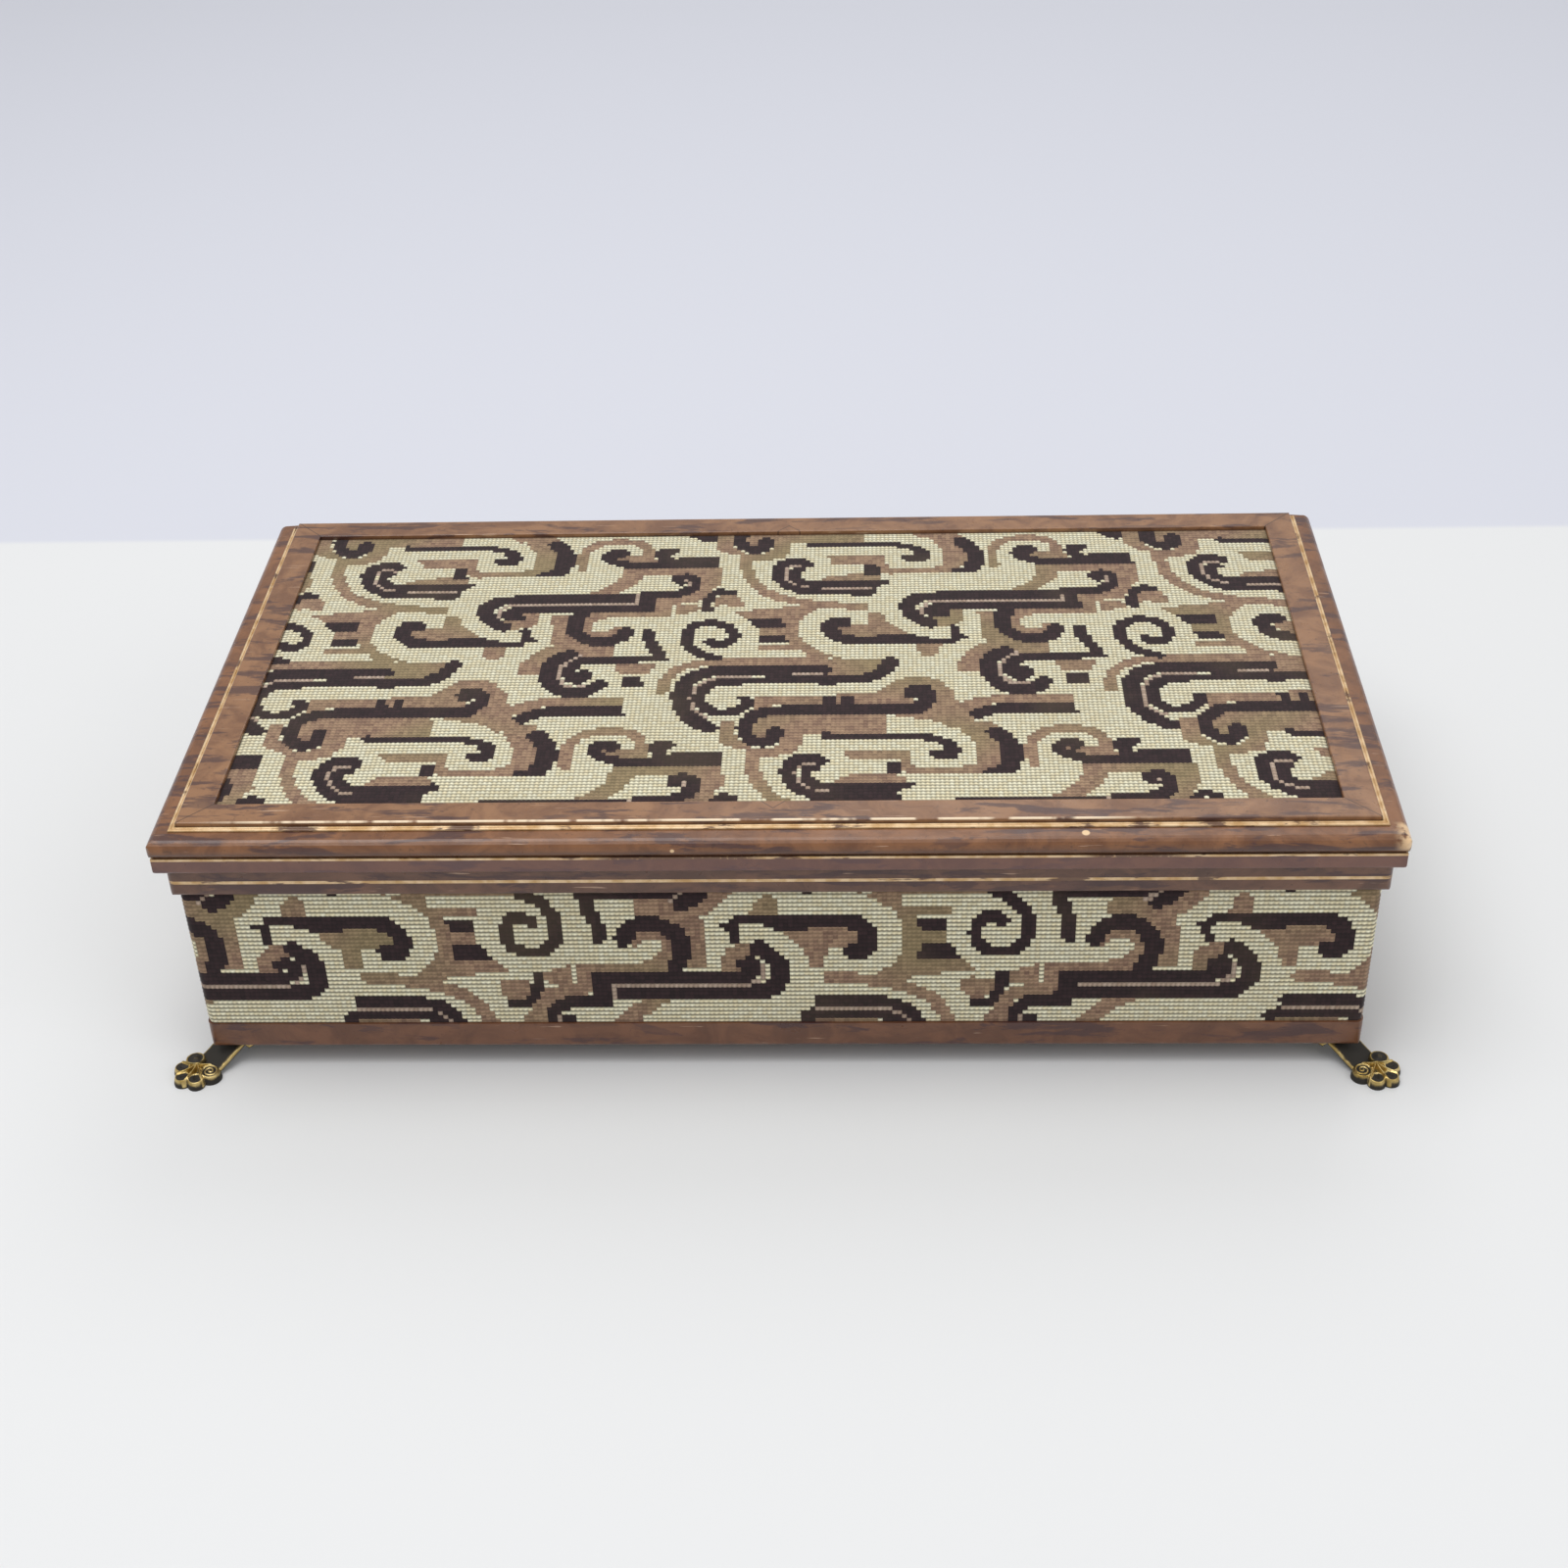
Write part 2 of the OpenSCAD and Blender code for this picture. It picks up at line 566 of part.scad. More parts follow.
function nose_plan() = concat(
    [[nose_x, nose_half_y], [-nose_x, nose_half_y]],
    arc(nose_corner_r - nose_x, nose_corner_r - nose_half_y, nose_corner_r, 180, 270),
    arc(nose_x - nose_corner_r, nose_corner_r - nose_half_y, nose_corner_r, 270, 360));
module lid_moulding_front() leather() front_run(moulding_profile, "front");
module lid_moulding_left() leather() front_run(moulding_profile, "left");
module lid_moulding_right() leather() front_run(moulding_profile, "right");
module lid_gilt_line() gilt()
    for (side = ["front", "left", "right"]) front_run(lid_line_profile, side);
module lid_back_rail() leather() difference() {
    slab(-lid_inner_x, lid_inner_x, lid_inner_back_y, back_y, lid_z, shoulder_z);
    for (dir = [-1, 1]) {
        leaf_pocket(dir, lid_z - over, upper_leaf_bottom + leaf_t);
        for (x = hinge_screw_xs(dir)) translate([x, leaf_screw_y, upper_leaf_bottom])
            cylinder(r = hinge_screw_r + screw_clear, h = hinge_screw_len);
    }
}

// Plate frame round the brocade panel
module plate_member(side) leather()
    frame_member(plate_profile, side, plate_x, plate_half_y, plate_mid_y, frame_w, frame_edge_r,
        shoulder_z, plate_top);
module plate_front() plate_member("front");
module plate_back() plate_member("back");
module plate_left() plate_member("left");
module plate_right() plate_member("right");
module plate_gilt_line() gilt() {
    line_x = plate_x + plate_line_w;
    line_y = plate_front_y - plate_line_w;
    intersection() {
        run_x(plate_line_profile, plate_front_y, -1, -line_x, line_x);
        linear_extrude(plate_top) polygon([[-line_x, line_y], [line_x, line_y], [0, line_y + line_x]]);
    }
    for (dir = [-1, 1]) intersection() {
        run_y(plate_line_profile, dir * plate_x, dir, line_y, plate_back_y);
        linear_extrude(plate_top) polygon(
            [[dir * line_x, line_y], [dir * line_x, plate_back_y], [0, plate_back_y], [0, line_y + line_x]]);
    }
}
module lid_brocade() color(brocade_col)
    slab(frame_w - plate_x, plate_x - frame_w, plate_front_y + frame_w, plate_back_y - frame_w,
        shoulder_z, shoulder_z + panel_t);
module lid_lining() velvet()
    translate([0, lid_inner_mid_y, core_z - lid_pad_t]) linear_extrude(lid_pad_t)
        polygon(rounded_rect(lid_inner_x - lining_gap, lid_inner_half_y - lining_gap, lining_r));

front_board();
back_board();
left_board();
right_board();
floor_board();
wall_brocade();
plinth_front();
plinth_back();
plinth_left();
plinth_right();
rim_front();
rim_back();
rim_left();
rim_right();
rim_gilt_line();
foot_front_left();
foot_front_right();
foot_back_left();
foot_back_right();
foot_screws();
floor_pad();
lining_front();
lining_back();
lining_left();
lining_right();
hinge_left_lower_leaf();
hinge_right_lower_leaf();
hinge_left_pin();
hinge_right_pin();
lower_hinge_screws();
lid_core();
lid_moulding_front();
lid_moulding_left();
lid_moulding_right();
lid_back_rail();
lid_gilt_line();
plate_front();
plate_back();
plate_left();
plate_right();
plate_gilt_line();
lid_brocade();
lid_lining();
hinge_left_upper_leaf();
hinge_right_upper_leaf();
upper_hinge_screws();
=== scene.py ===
import math

import bpy
import numpy as np
from mathutils import Euler, Matrix, Vector


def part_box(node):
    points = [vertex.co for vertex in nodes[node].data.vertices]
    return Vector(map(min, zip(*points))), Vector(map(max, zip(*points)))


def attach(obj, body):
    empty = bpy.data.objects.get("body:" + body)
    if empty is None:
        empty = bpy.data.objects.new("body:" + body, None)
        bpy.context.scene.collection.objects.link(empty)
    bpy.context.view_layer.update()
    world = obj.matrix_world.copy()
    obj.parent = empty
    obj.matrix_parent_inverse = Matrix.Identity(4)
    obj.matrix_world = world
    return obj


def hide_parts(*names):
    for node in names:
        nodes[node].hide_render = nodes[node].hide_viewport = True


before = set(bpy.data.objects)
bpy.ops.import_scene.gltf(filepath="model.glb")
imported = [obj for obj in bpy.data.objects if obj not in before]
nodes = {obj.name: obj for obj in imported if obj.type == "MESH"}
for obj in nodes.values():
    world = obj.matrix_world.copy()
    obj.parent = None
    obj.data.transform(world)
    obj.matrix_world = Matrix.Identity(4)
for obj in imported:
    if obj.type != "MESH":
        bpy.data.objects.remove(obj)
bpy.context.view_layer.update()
MM = 0.001

# Camera at the photograph's angle, in the frame's millimetres and the photograph's pixels
IMAGE_PX = 1600
FOCAL_PX = 2345.9
SENSOR_MM = 36.0
CAMERA_MM = (25.97, -521.60, 403.87)
CAMERA_TURN_DEG = (125.27, 2.38, -0.36)
CLIP_START = 0.01


def add_camera():
    """The rows of the turn are the camera's right, down and ahead directions."""
    turn = Euler([math.radians(a) for a in CAMERA_TURN_DEG], "XYZ").to_matrix()
    right, down, ahead = turn[0], turn[1], turn[2]
    data = bpy.data.cameras.new("camera")
    data.sensor_width = SENSOR_MM
    data.lens = SENSOR_MM * FOCAL_PX / IMAGE_PX
    data.clip_start = CLIP_START
    camera = bpy.data.objects.new("camera", data)
    axes = Matrix((right, -down, -ahead)).transposed().to_4x4()
    camera.matrix_world = Matrix.Translation(Vector(CAMERA_MM) * MM) @ axes
    bpy.context.collection.objects.link(camera)
    bpy.context.scene.camera = camera


# Materials
def rgb(text):
    """A colour written in hex as the screen shows it, as linear red, green and blue."""
    parts = [int(text[i:i + 2], 16) / 255 for i in (0, 2, 4)]
    return tuple(c / 12.92 if c <= 0.04045 else ((c + 0.055) / 1.055) ** 2.4 for c in parts)


class Material:
    """A node material, with short calls for the nodes that the finishes share."""

    def __init__(self, name, roughness=0.5, specular=0.5):
        self.material = bpy.data.materials.new(name)
        self.material.use_nodes = True
        self.tree = self.material.node_tree
        self.shader = self.tree.nodes["Principled BSDF"]
        self.shader.inputs["Roughness"].default_value = roughness
        self.shader.inputs["Specular IOR Level"].default_value = specular
        self.place = self.add("ShaderNodeTexCoord").outputs["Object"]
        split = self.add("ShaderNodeSeparateXYZ")
        self.link(self.place, split.inputs[0])
        self.x, self.y, self.z = split.outputs

    def add(self, kind):
        return self.tree.nodes.new(kind)

    def link(self, output, socket):
        self.tree.links.new(output, socket)

    def feed(self, value, socket):
        """Links a node's output to the socket, or sets a plain number or colour on it."""
        if isinstance(value, bpy.types.NodeSocket):
            self.link(value, socket)
        elif hasattr(socket.default_value, "__len__") and len(value) == 3:
            size = len(socket.default_value)
            socket.default_value = value if size == 3 else (*value, 1)
        else:
            socket.default_value = value

    def math(self, operation, a, b=0.0):
        node = self.add("ShaderNodeMath")
        node.operation = operation
        self.feed(a, node.inputs[0])
        self.feed(b, node.inputs[1])
        return node.outputs[0]

    def times(self, *factors):
        product = factors[0]
        for factor in factors[1:]:
            product = self.math("MULTIPLY", product, factor)
        return product

    def noise(self, scale, detail=3.0, roughness=0.55, distortion=0.0, vector=None):
        node = self.add("ShaderNodeTexNoise")
        node.inputs["Scale"].default_value = scale
        node.inputs["Detail"].default_value = detail
        node.inputs["Roughness"].default_value = roughness
        node.inputs["Distortion"].default_value = distortion
        self.link(vector or self.place, node.inputs["Vector"])
        return node.outputs["Fac"]

    def streaks(self, scales, turn=0.0, **settings):
        """Noise with its own scale along each axis, turned about z."""
        node = self.add("ShaderNodeMapping")
        node.inputs["Rotation"].default_value = (0, 0, turn)
        node.inputs["Scale"].default_value = scales
        self.link(self.place, node.inputs["Vector"])
        return self.noise(1, vector=node.outputs[0], **settings)

    def step(self, value, low, high, top=1.0):
        """Rises smoothly from 0 at low to top at high."""
        node = self.add("ShaderNodeMapRange")
        node.interpolation_type = "SMOOTHSTEP"
        self.feed(value, node.inputs["Value"])
        node.inputs["From Min"].default_value = low
        node.inputs["From Max"].default_value = high
        node.inputs["To Max"].default_value = top
        return node.outputs[0]

    def below(self, value, low, high):
        """Falls smoothly from 1 at low to 0 at high."""
        return self.math("SUBTRACT", 1.0, self.step(value, low, high))

    def band(self, value, low, high, soft):
        """1 between low and high, with soft edges."""
        rising = self.step(value, low - soft, low + soft)
        falling = self.step(value, high - soft, high + soft)
        return self.math("SUBTRACT", rising, falling)

    def away(self, centre):
        """Distance from a point, in metres."""
        node = self.add("ShaderNodeVectorMath")
        node.operation = "DISTANCE"
        self.link(self.place, node.inputs[0])
        node.inputs[1].default_value = centre
        return node.outputs["Value"]

    def mix(self, factor, a, b, blend="MIX"):
        node = self.add("ShaderNodeMix")
        node.data_type = "RGBA"
        node.blend_type = blend
        self.feed(factor, node.inputs[0])
        self.feed(a, node.inputs[6])
        self.feed(b, node.inputs[7])
        return node.outputs[2]

    def finish(self, colour, height=None, bump=0.3, depth=0.2 * MM, roughness=None, metallic=None):
        """Feeds the shader, with the height as bump, and gives the material."""
        self.feed(colour, self.shader.inputs["Base Color"])
        if roughness is not None:
            self.feed(roughness, self.shader.inputs["Roughness"])
        if metallic is not None:
            self.feed(metallic, self.shader.inputs["Metallic"])
        if height is not None:
            node = self.add("ShaderNodeBump")
            node.inputs["Strength"].default_value = bump
            node.inputs["Distance"].default_value = depth
            self.link(height, node.inputs["Height"])
            self.link(node.outputs[0], self.shader.inputs["Normal"])
        return self.material


# Leatherette, marbled and worn
COAT = 0.25
COAT_ROUGHNESS = 0.22
SMUDGE = rgb("3E2628")
SCRATCH = rgb("C6A58A")
SPECK = rgb("2E1E1C")


def leather_colour(m, base, dark, light):
    """Cloudy tone, diagonal dark smudges, pale patches, short pale scratches and dark specks."""
    cloud = m.noise(95, detail=6, roughness=0.62, distortion=0.9)
    colour = m.mix(m.step(cloud, 0.34, 0.66), dark, light)
    colour = m.mix(0.45, colour, base)
    smudge = m.streaks((45, 230, 230), turn=0.7, detail=5, roughness=0.62, distortion=0.35)
    colour = m.mix(m.step(smudge, 0.53, 0.6, top=0.75), colour, SMUDGE)
    patch = m.streaks((28, 60, 120), turn=-0.5, detail=4, roughness=0.6, distortion=0.3)
    colour = m.mix(m.step(patch, 0.52, 0.7, top=0.45), colour, light)
    scratch = m.streaks((60, 1500, 900), turn=0.2, detail=3, roughness=0.5)
    colour = m.mix(m.step(scratch, 0.69, 0.73, top=0.5), colour, SCRATCH)
    speck = m.noise(900, detail=2, roughness=0.5)
    return m.mix(m.step(speck, 0.62, 0.74, top=0.35), colour, SPECK)


def leather_grain(m):
    fine = m.noise(1900, detail=3, roughness=0.6)
    coarse = m.noise(330, detail=4, roughness=0.6)
    return m.math("ADD", m.times(fine, 0.5), coarse)


def leather(name, base, dark, light, marks_and_shade=None):
    m = Material(name, specular=0.45)
    colour = leather_colour(m, rgb(base), rgb(dark), rgb(light))
    # A piece's marks may include painted shade as well as wear
    if marks_and_shade:
        colour = marks_and_shade(m, colour)
    m.shader.inputs["Coat Weight"].default_value = COAT
    m.shader.inputs["Coat Roughness"].default_value = COAT_ROUGHNESS
    uneven = m.step(m.noise(140, detail=4), 0.3, 0.7, top=0.18)
    rough = m.math("ADD", uneven, 0.27)
    return m.finish(colour, leather_grain(m), bump=0.3, depth=0.15 * MM, roughness=rough)


# Marks and painted shade of the plate frame, placed from its own box
PLATE_LO, PLATE_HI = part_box("plate_front")
PLATE_BACK_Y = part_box("plate_back")[1].y
WORN_X = (-0.131, 0.085)
WORN_FADE = 0.012
WORN_EDGE = rgb("E9D3B4")
# The seam colour serves both the dark mitre lines and the painted shade on the riser
SEAM_AND_SHADE = rgb("2C1C1A")
MITRE_STRENGTH = 0.7
RISER_SHADE_STRENGTH = 0.55


def plate_marks_and_shade(m, colour):
    """A bright worn line along the front edge, dark mitre lines, and painted shade on the riser."""
    near_edge = m.band(m.y, PLATE_LO.y - 0.1 * MM, PLATE_LO.y + 0.55 * MM, 0.1 * MM)
    high = m.step(m.z, PLATE_HI.z - 0.45 * MM, PLATE_HI.z - 0.2 * MM)
    along = m.band(m.x, *WORN_X, WORN_FADE)
    broken = m.step(m.streaks((120, 40, 40), detail=3, roughness=0.6), 0.38, 0.5)
    colour = m.mix(m.times(near_edge, high, along, broken), colour, WORN_EDGE)
    from_side = m.math("SUBTRACT", PLATE_HI.x, m.math("ABSOLUTE", m.x))
    for from_end in (m.math("SUBTRACT", m.y, PLATE_LO.y), m.math("SUBTRACT", PLATE_BACK_Y, m.y)):
        off = m.math("ABSOLUTE", m.math("SUBTRACT", from_side, from_end))
        clear = m.step(off, 0.1 * MM, 0.3 * MM, top=MITRE_STRENGTH)
        colour = m.mix(m.math("SUBTRACT", MITRE_STRENGTH, clear), colour, SEAM_AND_SHADE)
    # Painted shade: the riser is darkened towards the plate's foot
    riser_shade = m.below(m.z, PLATE_LO.z + 0.3 * MM, PLATE_LO.z + MM)
    return m.mix(m.times(riser_shade, RISER_SHADE_STRENGTH), colour, SEAM_AND_SHADE)


# Marks and painted shade of the lid mouldings, in metres
# The flank is painted shade on the underside of the nose; the band below it has a mauve tint with painted
# shade under the nose
NOSE_SHADE_Z = (0.0697, 0.0722)
NOSE_SHADE_SOFT = 0.0006
NOSE_UNDERSIDE_SHADE = rgb("452A20")
BAND_TOP_Z = (0.0694, 0.0698)
BAND_TINT_AND_SHADE = rgb("65494B")
MOULDING_SHADE = 0.55
CHIPS = [((0.0752, -0.0778, 0.0752), 0.0011), ((-0.024, -0.0808, 0.0725), 0.0006)]
CHIP = rgb("DDBC90")
RUBBED_X = (0.1475, 0.1520)
RUBBED_Y = (-0.0815, -0.0745)
RUBBED_Z = (0.0705, 0.0725)
RUBBED = rgb("E0BE93")


def moulding_marks_and_shade(m, colour):
    """Painted shade on the nose's underside, the band below it in mauve with painted shade, chips, and the
    rubbed right corner.
    """
    # Painted shade on the underside of the nose
    nose_shade = m.times(m.band(m.z, *NOSE_SHADE_Z, NOSE_SHADE_SOFT), MOULDING_SHADE)
    colour = m.mix(nose_shade, colour, NOSE_UNDERSIDE_SHADE)
    # Mauve tint and painted shade on the band under the nose
    colour = m.mix(m.times(m.below(m.z, *BAND_TOP_Z), MOULDING_SHADE), colour, BAND_TINT_AND_SHADE)
    for centre, radius in CHIPS:
        colour = m.mix(m.below(m.away(centre), radius * 0.7, radius), colour, CHIP)
    corner = m.times(m.step(m.x, *RUBBED_X), m.band(m.y, *RUBBED_Y, MM), m.step(m.z, *RUBBED_Z))
    patchy = m.step(m.noise(420, detail=4), 0.36, 0.52)
    return m.mix(m.times(corner, patchy), colour, RUBBED)


# Gilt, brass, velvet and wood
NOSE_LINE_GAPS = ((-0.042, -0.004), (0.076, 0.098))


def gilt(name, gaps=()):
    """Old gold paint, rubbed through in places, and nearly lost at the gaps."""
    m = Material(name, roughness=0.42)
    tone = m.mix(m.step(m.noise(260, detail=4), 0.3, 0.7), rgb("BE9866"), rgb("E4C8A0"))
    worn = m.streaks((75, 75, 500), detail=4, roughness=0.65, distortion=0.2)
    gone = m.step(worn, 0.56, 0.62)
    for low, high in gaps:
        lost = m.times(m.band(m.x, low, high, 4 * MM), m.step(m.noise(700, detail=3), 0.3, 0.45))
        gone = m.math("MAXIMUM", gone, lost)
    colour = m.mix(m.times(gone, 0.9), tone, rgb("5A3C30"))
    shine = m.times(m.math("SUBTRACT", 1.0, gone), 0.35)
    return m.finish(colour, m.noise(900, detail=3), bump=0.25, depth=0.1 * MM, metallic=shine)


def old_brass(name, crest_layer=None):
    """Brass rubbed bright, on the ridges where a crest layer says, with patina in the hollows."""
    m = Material(name, roughness=0.38)
    metal = m.mix(m.step(m.noise(300, detail=5), 0.3, 0.7), rgb("9C8246"), rgb("DCC58A"))
    blotch = m.noise(520, detail=5, roughness=0.65, distortion=0.4)
    if crest_layer:
        layer = m.add("ShaderNodeAttribute")
        layer.attribute_name = crest_layer
        bare = m.step(m.math("ADD", layer.outputs["Fac"], m.times(blotch, 0.7)), 0.52, 0.95)
    else:
        bare = m.step(blotch, 0.3, 0.55)
    colour = m.mix(bare, rgb("2A2620"), metal)
    rough = m.math("SUBTRACT", 0.62, m.times(bare, 0.28))
    shine = m.math("ADD", m.times(bare, 0.6), 0.35)
    return m.finish(colour, blotch, bump=0.35, roughness=rough, metallic=shine)


def velvet(name):
    m = Material(name, roughness=0.85, specular=0.2)
    m.shader.inputs["Sheen Weight"].default_value = 0.6
    m.shader.inputs["Sheen Roughness"].default_value = 0.4
    m.shader.inputs["Sheen Tint"].default_value = (*rgb("D0606A"), 1)
    nap = m.noise(38, detail=4, roughness=0.6, distortion=1.1)
    colour = m.mix(m.step(nap, 0.36, 0.64), rgb("5C1420"), rgb("8A2430"))
    pile = m.noise(2600, detail=2)
    colour = m.mix(m.step(pile, 0.4, 0.7, top=0.4), colour, rgb("3C0C14"))
    return m.finish(colour, pile, bump=0.5, depth=0.3 * MM)


def wood(name):
    m = Material(name, roughness=0.62)
    ring = m.streaks((9, 130, 170), detail=5, roughness=0.6, distortion=1.6)
    colour = m.mix(m.step(ring, 0.36, 0.64), rgb("A98558"), rgb("CDAE80"))
    pore = m.streaks((60, 2200, 2200), detail=2, roughness=0.5)
    colour = m.mix(m.step(pore, 0.6, 0.72, top=0.5), colour, rgb("6E4C2C"))
    return m.finish(colour, pore)


def woven_yarn(name):
    """Tapestry: the colour of each stitch, with painted shade in the gaps between stitches, is in the mesh,
    and fibres and age are added here.
    """
    m = Material(name, roughness=0.88, specular=0.25)
    m.shader.inputs["Sheen Weight"].default_value = 0.15
    stitch = m.add("ShaderNodeVertexColor")
    stitch.layer_name = "yarn"
    fuzz = m.noise(2400, detail=3, roughness=0.6)
    shade = m.mix(m.step(fuzz, 0.25, 0.75), (0.9, 0.9, 0.89), (1.08, 1.08, 1.08))
    colour = m.mix(1.0, stitch.outputs["Color"], shade, "MULTIPLY")
    age = m.noise(24, detail=3)
    colour = m.mix(m.step(age, 0.5, 0.75, top=0.12), colour, rgb("8A7A55"))
    return m.finish(colour, fuzz, bump=0.35, depth=0.15 * MM)


# One repeat of the scroll pattern, drawn in millimetres of cloth
REPEAT_W = 117.5
REPEAT_H = 99.0
REPEAT_X0 = 58.0
CREAM, TAUPE, DARK, PALE = 0, 1, 2, 3

# An area is a closed outline, and a stroke is a width and an open line
DARK_SPREAD = 0.3
TAUPE_AREAS = [
    [(61, 1.5), (67.5, 1.5), (69, 4.8), (71.3, 9), (71.3, 16), (69, 19.6), (66.5, 22.8), (58, 22.9),
     (48, 23.6), (45, 21), (45.4, 18), (49, 19.8), (58, 20.6), (63.6, 19), (64.3, 15), (64.2, 9.5),
     (62, 5)],
    [(90.5, 11.4), (95.5, 11), (99, 12), (99.5, 14.9), (90.5, 14.9), (86.5, 12.2), (88, 11.6), (90, 13)],
    [(90, 19.3), (96, 22.8), (95, 26), (93, 29), (90, 32), (88, 33.4), (80, 33.4), (84, 31), (88, 27),
     (89.4, 24)],
    [(90, 19.3), (118, 19.3), (118, 28), (116.6, 29.5), (115, 33), (112, 37.5), (105, 39.3), (105, 36),
     (110.5, 33), (112.3, 29), (112.2, 25.5), (111, 22.8), (96, 22.8)],
    [(100, 35.8), (106, 35.4), (105, 39.3), (104.2, 39.3), (104.2, 45.2), (95, 45.6), (86, 46.2),
     (83.4, 48), (81.5, 51), (79, 51), (79.4, 46.5), (81, 42.8), (100, 42.8)],
    [(105, 39.4), (111.5, 39.4), (112.6, 42.2), (109.5, 43.6), (105, 45.2)],
    [(116.2, 36), (118, 34), (122, 34), (124, 36.5), (124, 40.5), (121, 41), (118.5, 39.5), (116, 41),
     (115.6, 38)],
    [(122.5, 9.5), (126, 11.3), (130.5, 11), (133, 9), (133, 3), (137, 2), (138.4, 4.5), (138.2, 10),
     (136.5, 12), (136, 14), (131, 15), (127, 16), (124, 14)],
    [(125, 1.5), (160, 1.5), (160, 5.4), (147, 5.4), (143.5, 4.8), (133, 4.8), (131, 2.4), (125.6, 2.6)],
    [(125.4, 3.5), (130, 3.5), (130, 7.5), (127.5, 8.2), (125.6, 6.5)],
    [(117, 1.5), (121, 1.5), (121.5, 6), (124, 9.8), (122.5, 12), (119, 10.3), (117, 8)],
    [(121, 43.4), (134, 41.6), (140, 40), (150, 40.4), (145, 42.2), (141, 46), (139.2, 50), (139.2, 57),
     (141, 61), (145, 65), (151, 68.2), (140.5, 67.5), (140, 64), (138, 63.6), (127.5, 63.6), (127.5, 60.4),
     (136.5, 60.4), (135.2, 56), (128.6, 56), (128.6, 52.2), (135.2, 52.2), (135.2, 47), (125, 47.2)],
    [(158.5, 44.4), (162.5, 44.4), (163.8, 50), (168, 54), (170, 57), (154, 57), (150, 54.5), (150.2, 52.4),
     (153.6, 50.2), (158.5, 50.2)],
    [(63, 71), (66, 66), (70, 61.5), (75, 59), (76.5, 54.5), (79, 58), (84, 61), (89, 61), (89, 65.8),
     (80, 65.8), (76, 63.3), (72.5, 66.6), (69.5, 71), (69, 75.4), (63, 75)],
    [(71.2, 44), (76.5, 44), (75.6, 48), (75.5, 54), (76.5, 55), (75, 59.5), (71.8, 60), (71.2, 52)],
    [(61, 43.2), (67.3, 43.2), (67.3, 48), (65, 51), (60, 52), (58, 50), (58, 47.5), (61, 47), (63, 45.5)],
    [(88.5, 69.4), (101, 69.4), (98, 74.8), (90.5, 75), (89.6, 72)],
    [(145, 69), (161, 69), (160, 73.5), (157, 75.6), (154, 76.8), (145, 76.6)],
    [(60.5, 91), (66, 88.4), (71, 86.8), (92, 86.8), (92, 90.6), (71.5, 90.6), (66, 93), (63, 95.2),
     (60, 97)],
    [(57, 80), (61.5, 84), (61, 88), (63.4, 92), (63.4, 95.4), (66.2, 99), (70, 99), (71, 103.5),
     (63, 103.5), (60, 101.5), (57, 98.5), (50, 95), (53, 93.5), (56.6, 90), (57.6, 86)],
    [(127, 86.3), (155, 85.6), (160, 84), (166, 80), (170, 79), (166, 84), (167, 88), (170, 89.6),
     (168, 90.8), (131, 90.8), (127, 93.4), (125.6, 90)],
    [(131, 94.8), (160, 94.8), (160, 100), (139, 100), (139, 104), (126, 104), (125.4, 99), (126.6, 97)],
    [(163, 94.8), (178, 94.8), (178, 103), (174.6, 99.8), (171, 97.6), (163, 96.8)],
    [(117, 100.5), (118, 97.4), (121.6, 97.4), (121.2, 104), (117, 104)],
    [(171, 60.8), (177.6, 60.8), (176, 66), (173.6, 67.6), (171, 66.2)],
    [(147.5, 12.6), (165, 12.4), (165.4, 18.5), (163.2, 19.5), (163.2, 17.2), (150, 17.2), (149.5, 15)],
    [(145.4, 26.6), (149, 23.6), (159, 23.4), (163, 23.8), (163.4, 27.2), (146, 27.2)],
]
TAUPE_STROKES = [
    (3.2, [(78.3, 19), (78.2, 11), (80, 6.5), (84, 3.6), (92, 3.2), (96, 5.2), (97.2, 9), (97, 14)]),
    (3.6, [(125.6, 13), (125.4, 22), (127.3, 28), (131, 34), (138, 38), (148, 40.3), (157.5, 41.2)]),
    (2.6, [(80.8, 48), (80.6, 52), (83, 55.2), (87.5, 55), (89.4, 52.4)]),
    (3.2, [(102, 84), (102.5, 79), (105, 74), (110, 70.3), (118, 69.4), (146, 69.4)]),
    (4.0, [(160, 86.5), (165, 80.8), (169, 78.6), (173, 79.6), (175.4, 83), (175.6, 88), (173, 93)]),
]
DARK_AREAS = [
    [(88, 15), (100, 15), (101, 13.8), (110, 13), (112, 12.4), (117.8, 12.2), (117.8, 19.2), (91, 19.2),
     (86, 15.6)],
    [(95.5, 31.8), (105, 31.6), (107, 30.5), (111, 31.5), (106.5, 35), (100, 35.8), (100, 42.6),
     (95.5, 42.6)],
    [(78, 66.4), (99, 66), (100.5, 65.2), (103.8, 67.6), (102, 69.2), (81, 69.4)],
    [(91.2, 76), (96.8, 76), (96.8, 81), (91.2, 81)],
    [(63.2, 95.2), (66, 93.2), (71.5, 90.8), (91.4, 90.8), (91.6, 93), (92.8, 95), (72.5, 95),
     (69, 96.6), (66.2, 98.8)],
    [(144.6, 86.3), (147.4, 86.3), (147.4, 91), (144.6, 91)],
    [(149.4, 86.3), (152, 86.3), (152, 91), (149.4, 91)],
    [(125, 47.2), (135.2, 47.2), (135.2, 52), (127.5, 52)],
    [(128.6, 56.2), (135.2, 56.2), (136.4, 60.3), (128.6, 60.3)],
    [(158, 27.4), (164.2, 27), (162, 30), (159.6, 34.6), (158, 34.6)],
    [(159, 17.4), (163, 17.4), (163, 23.6), (159, 23.6)],
]
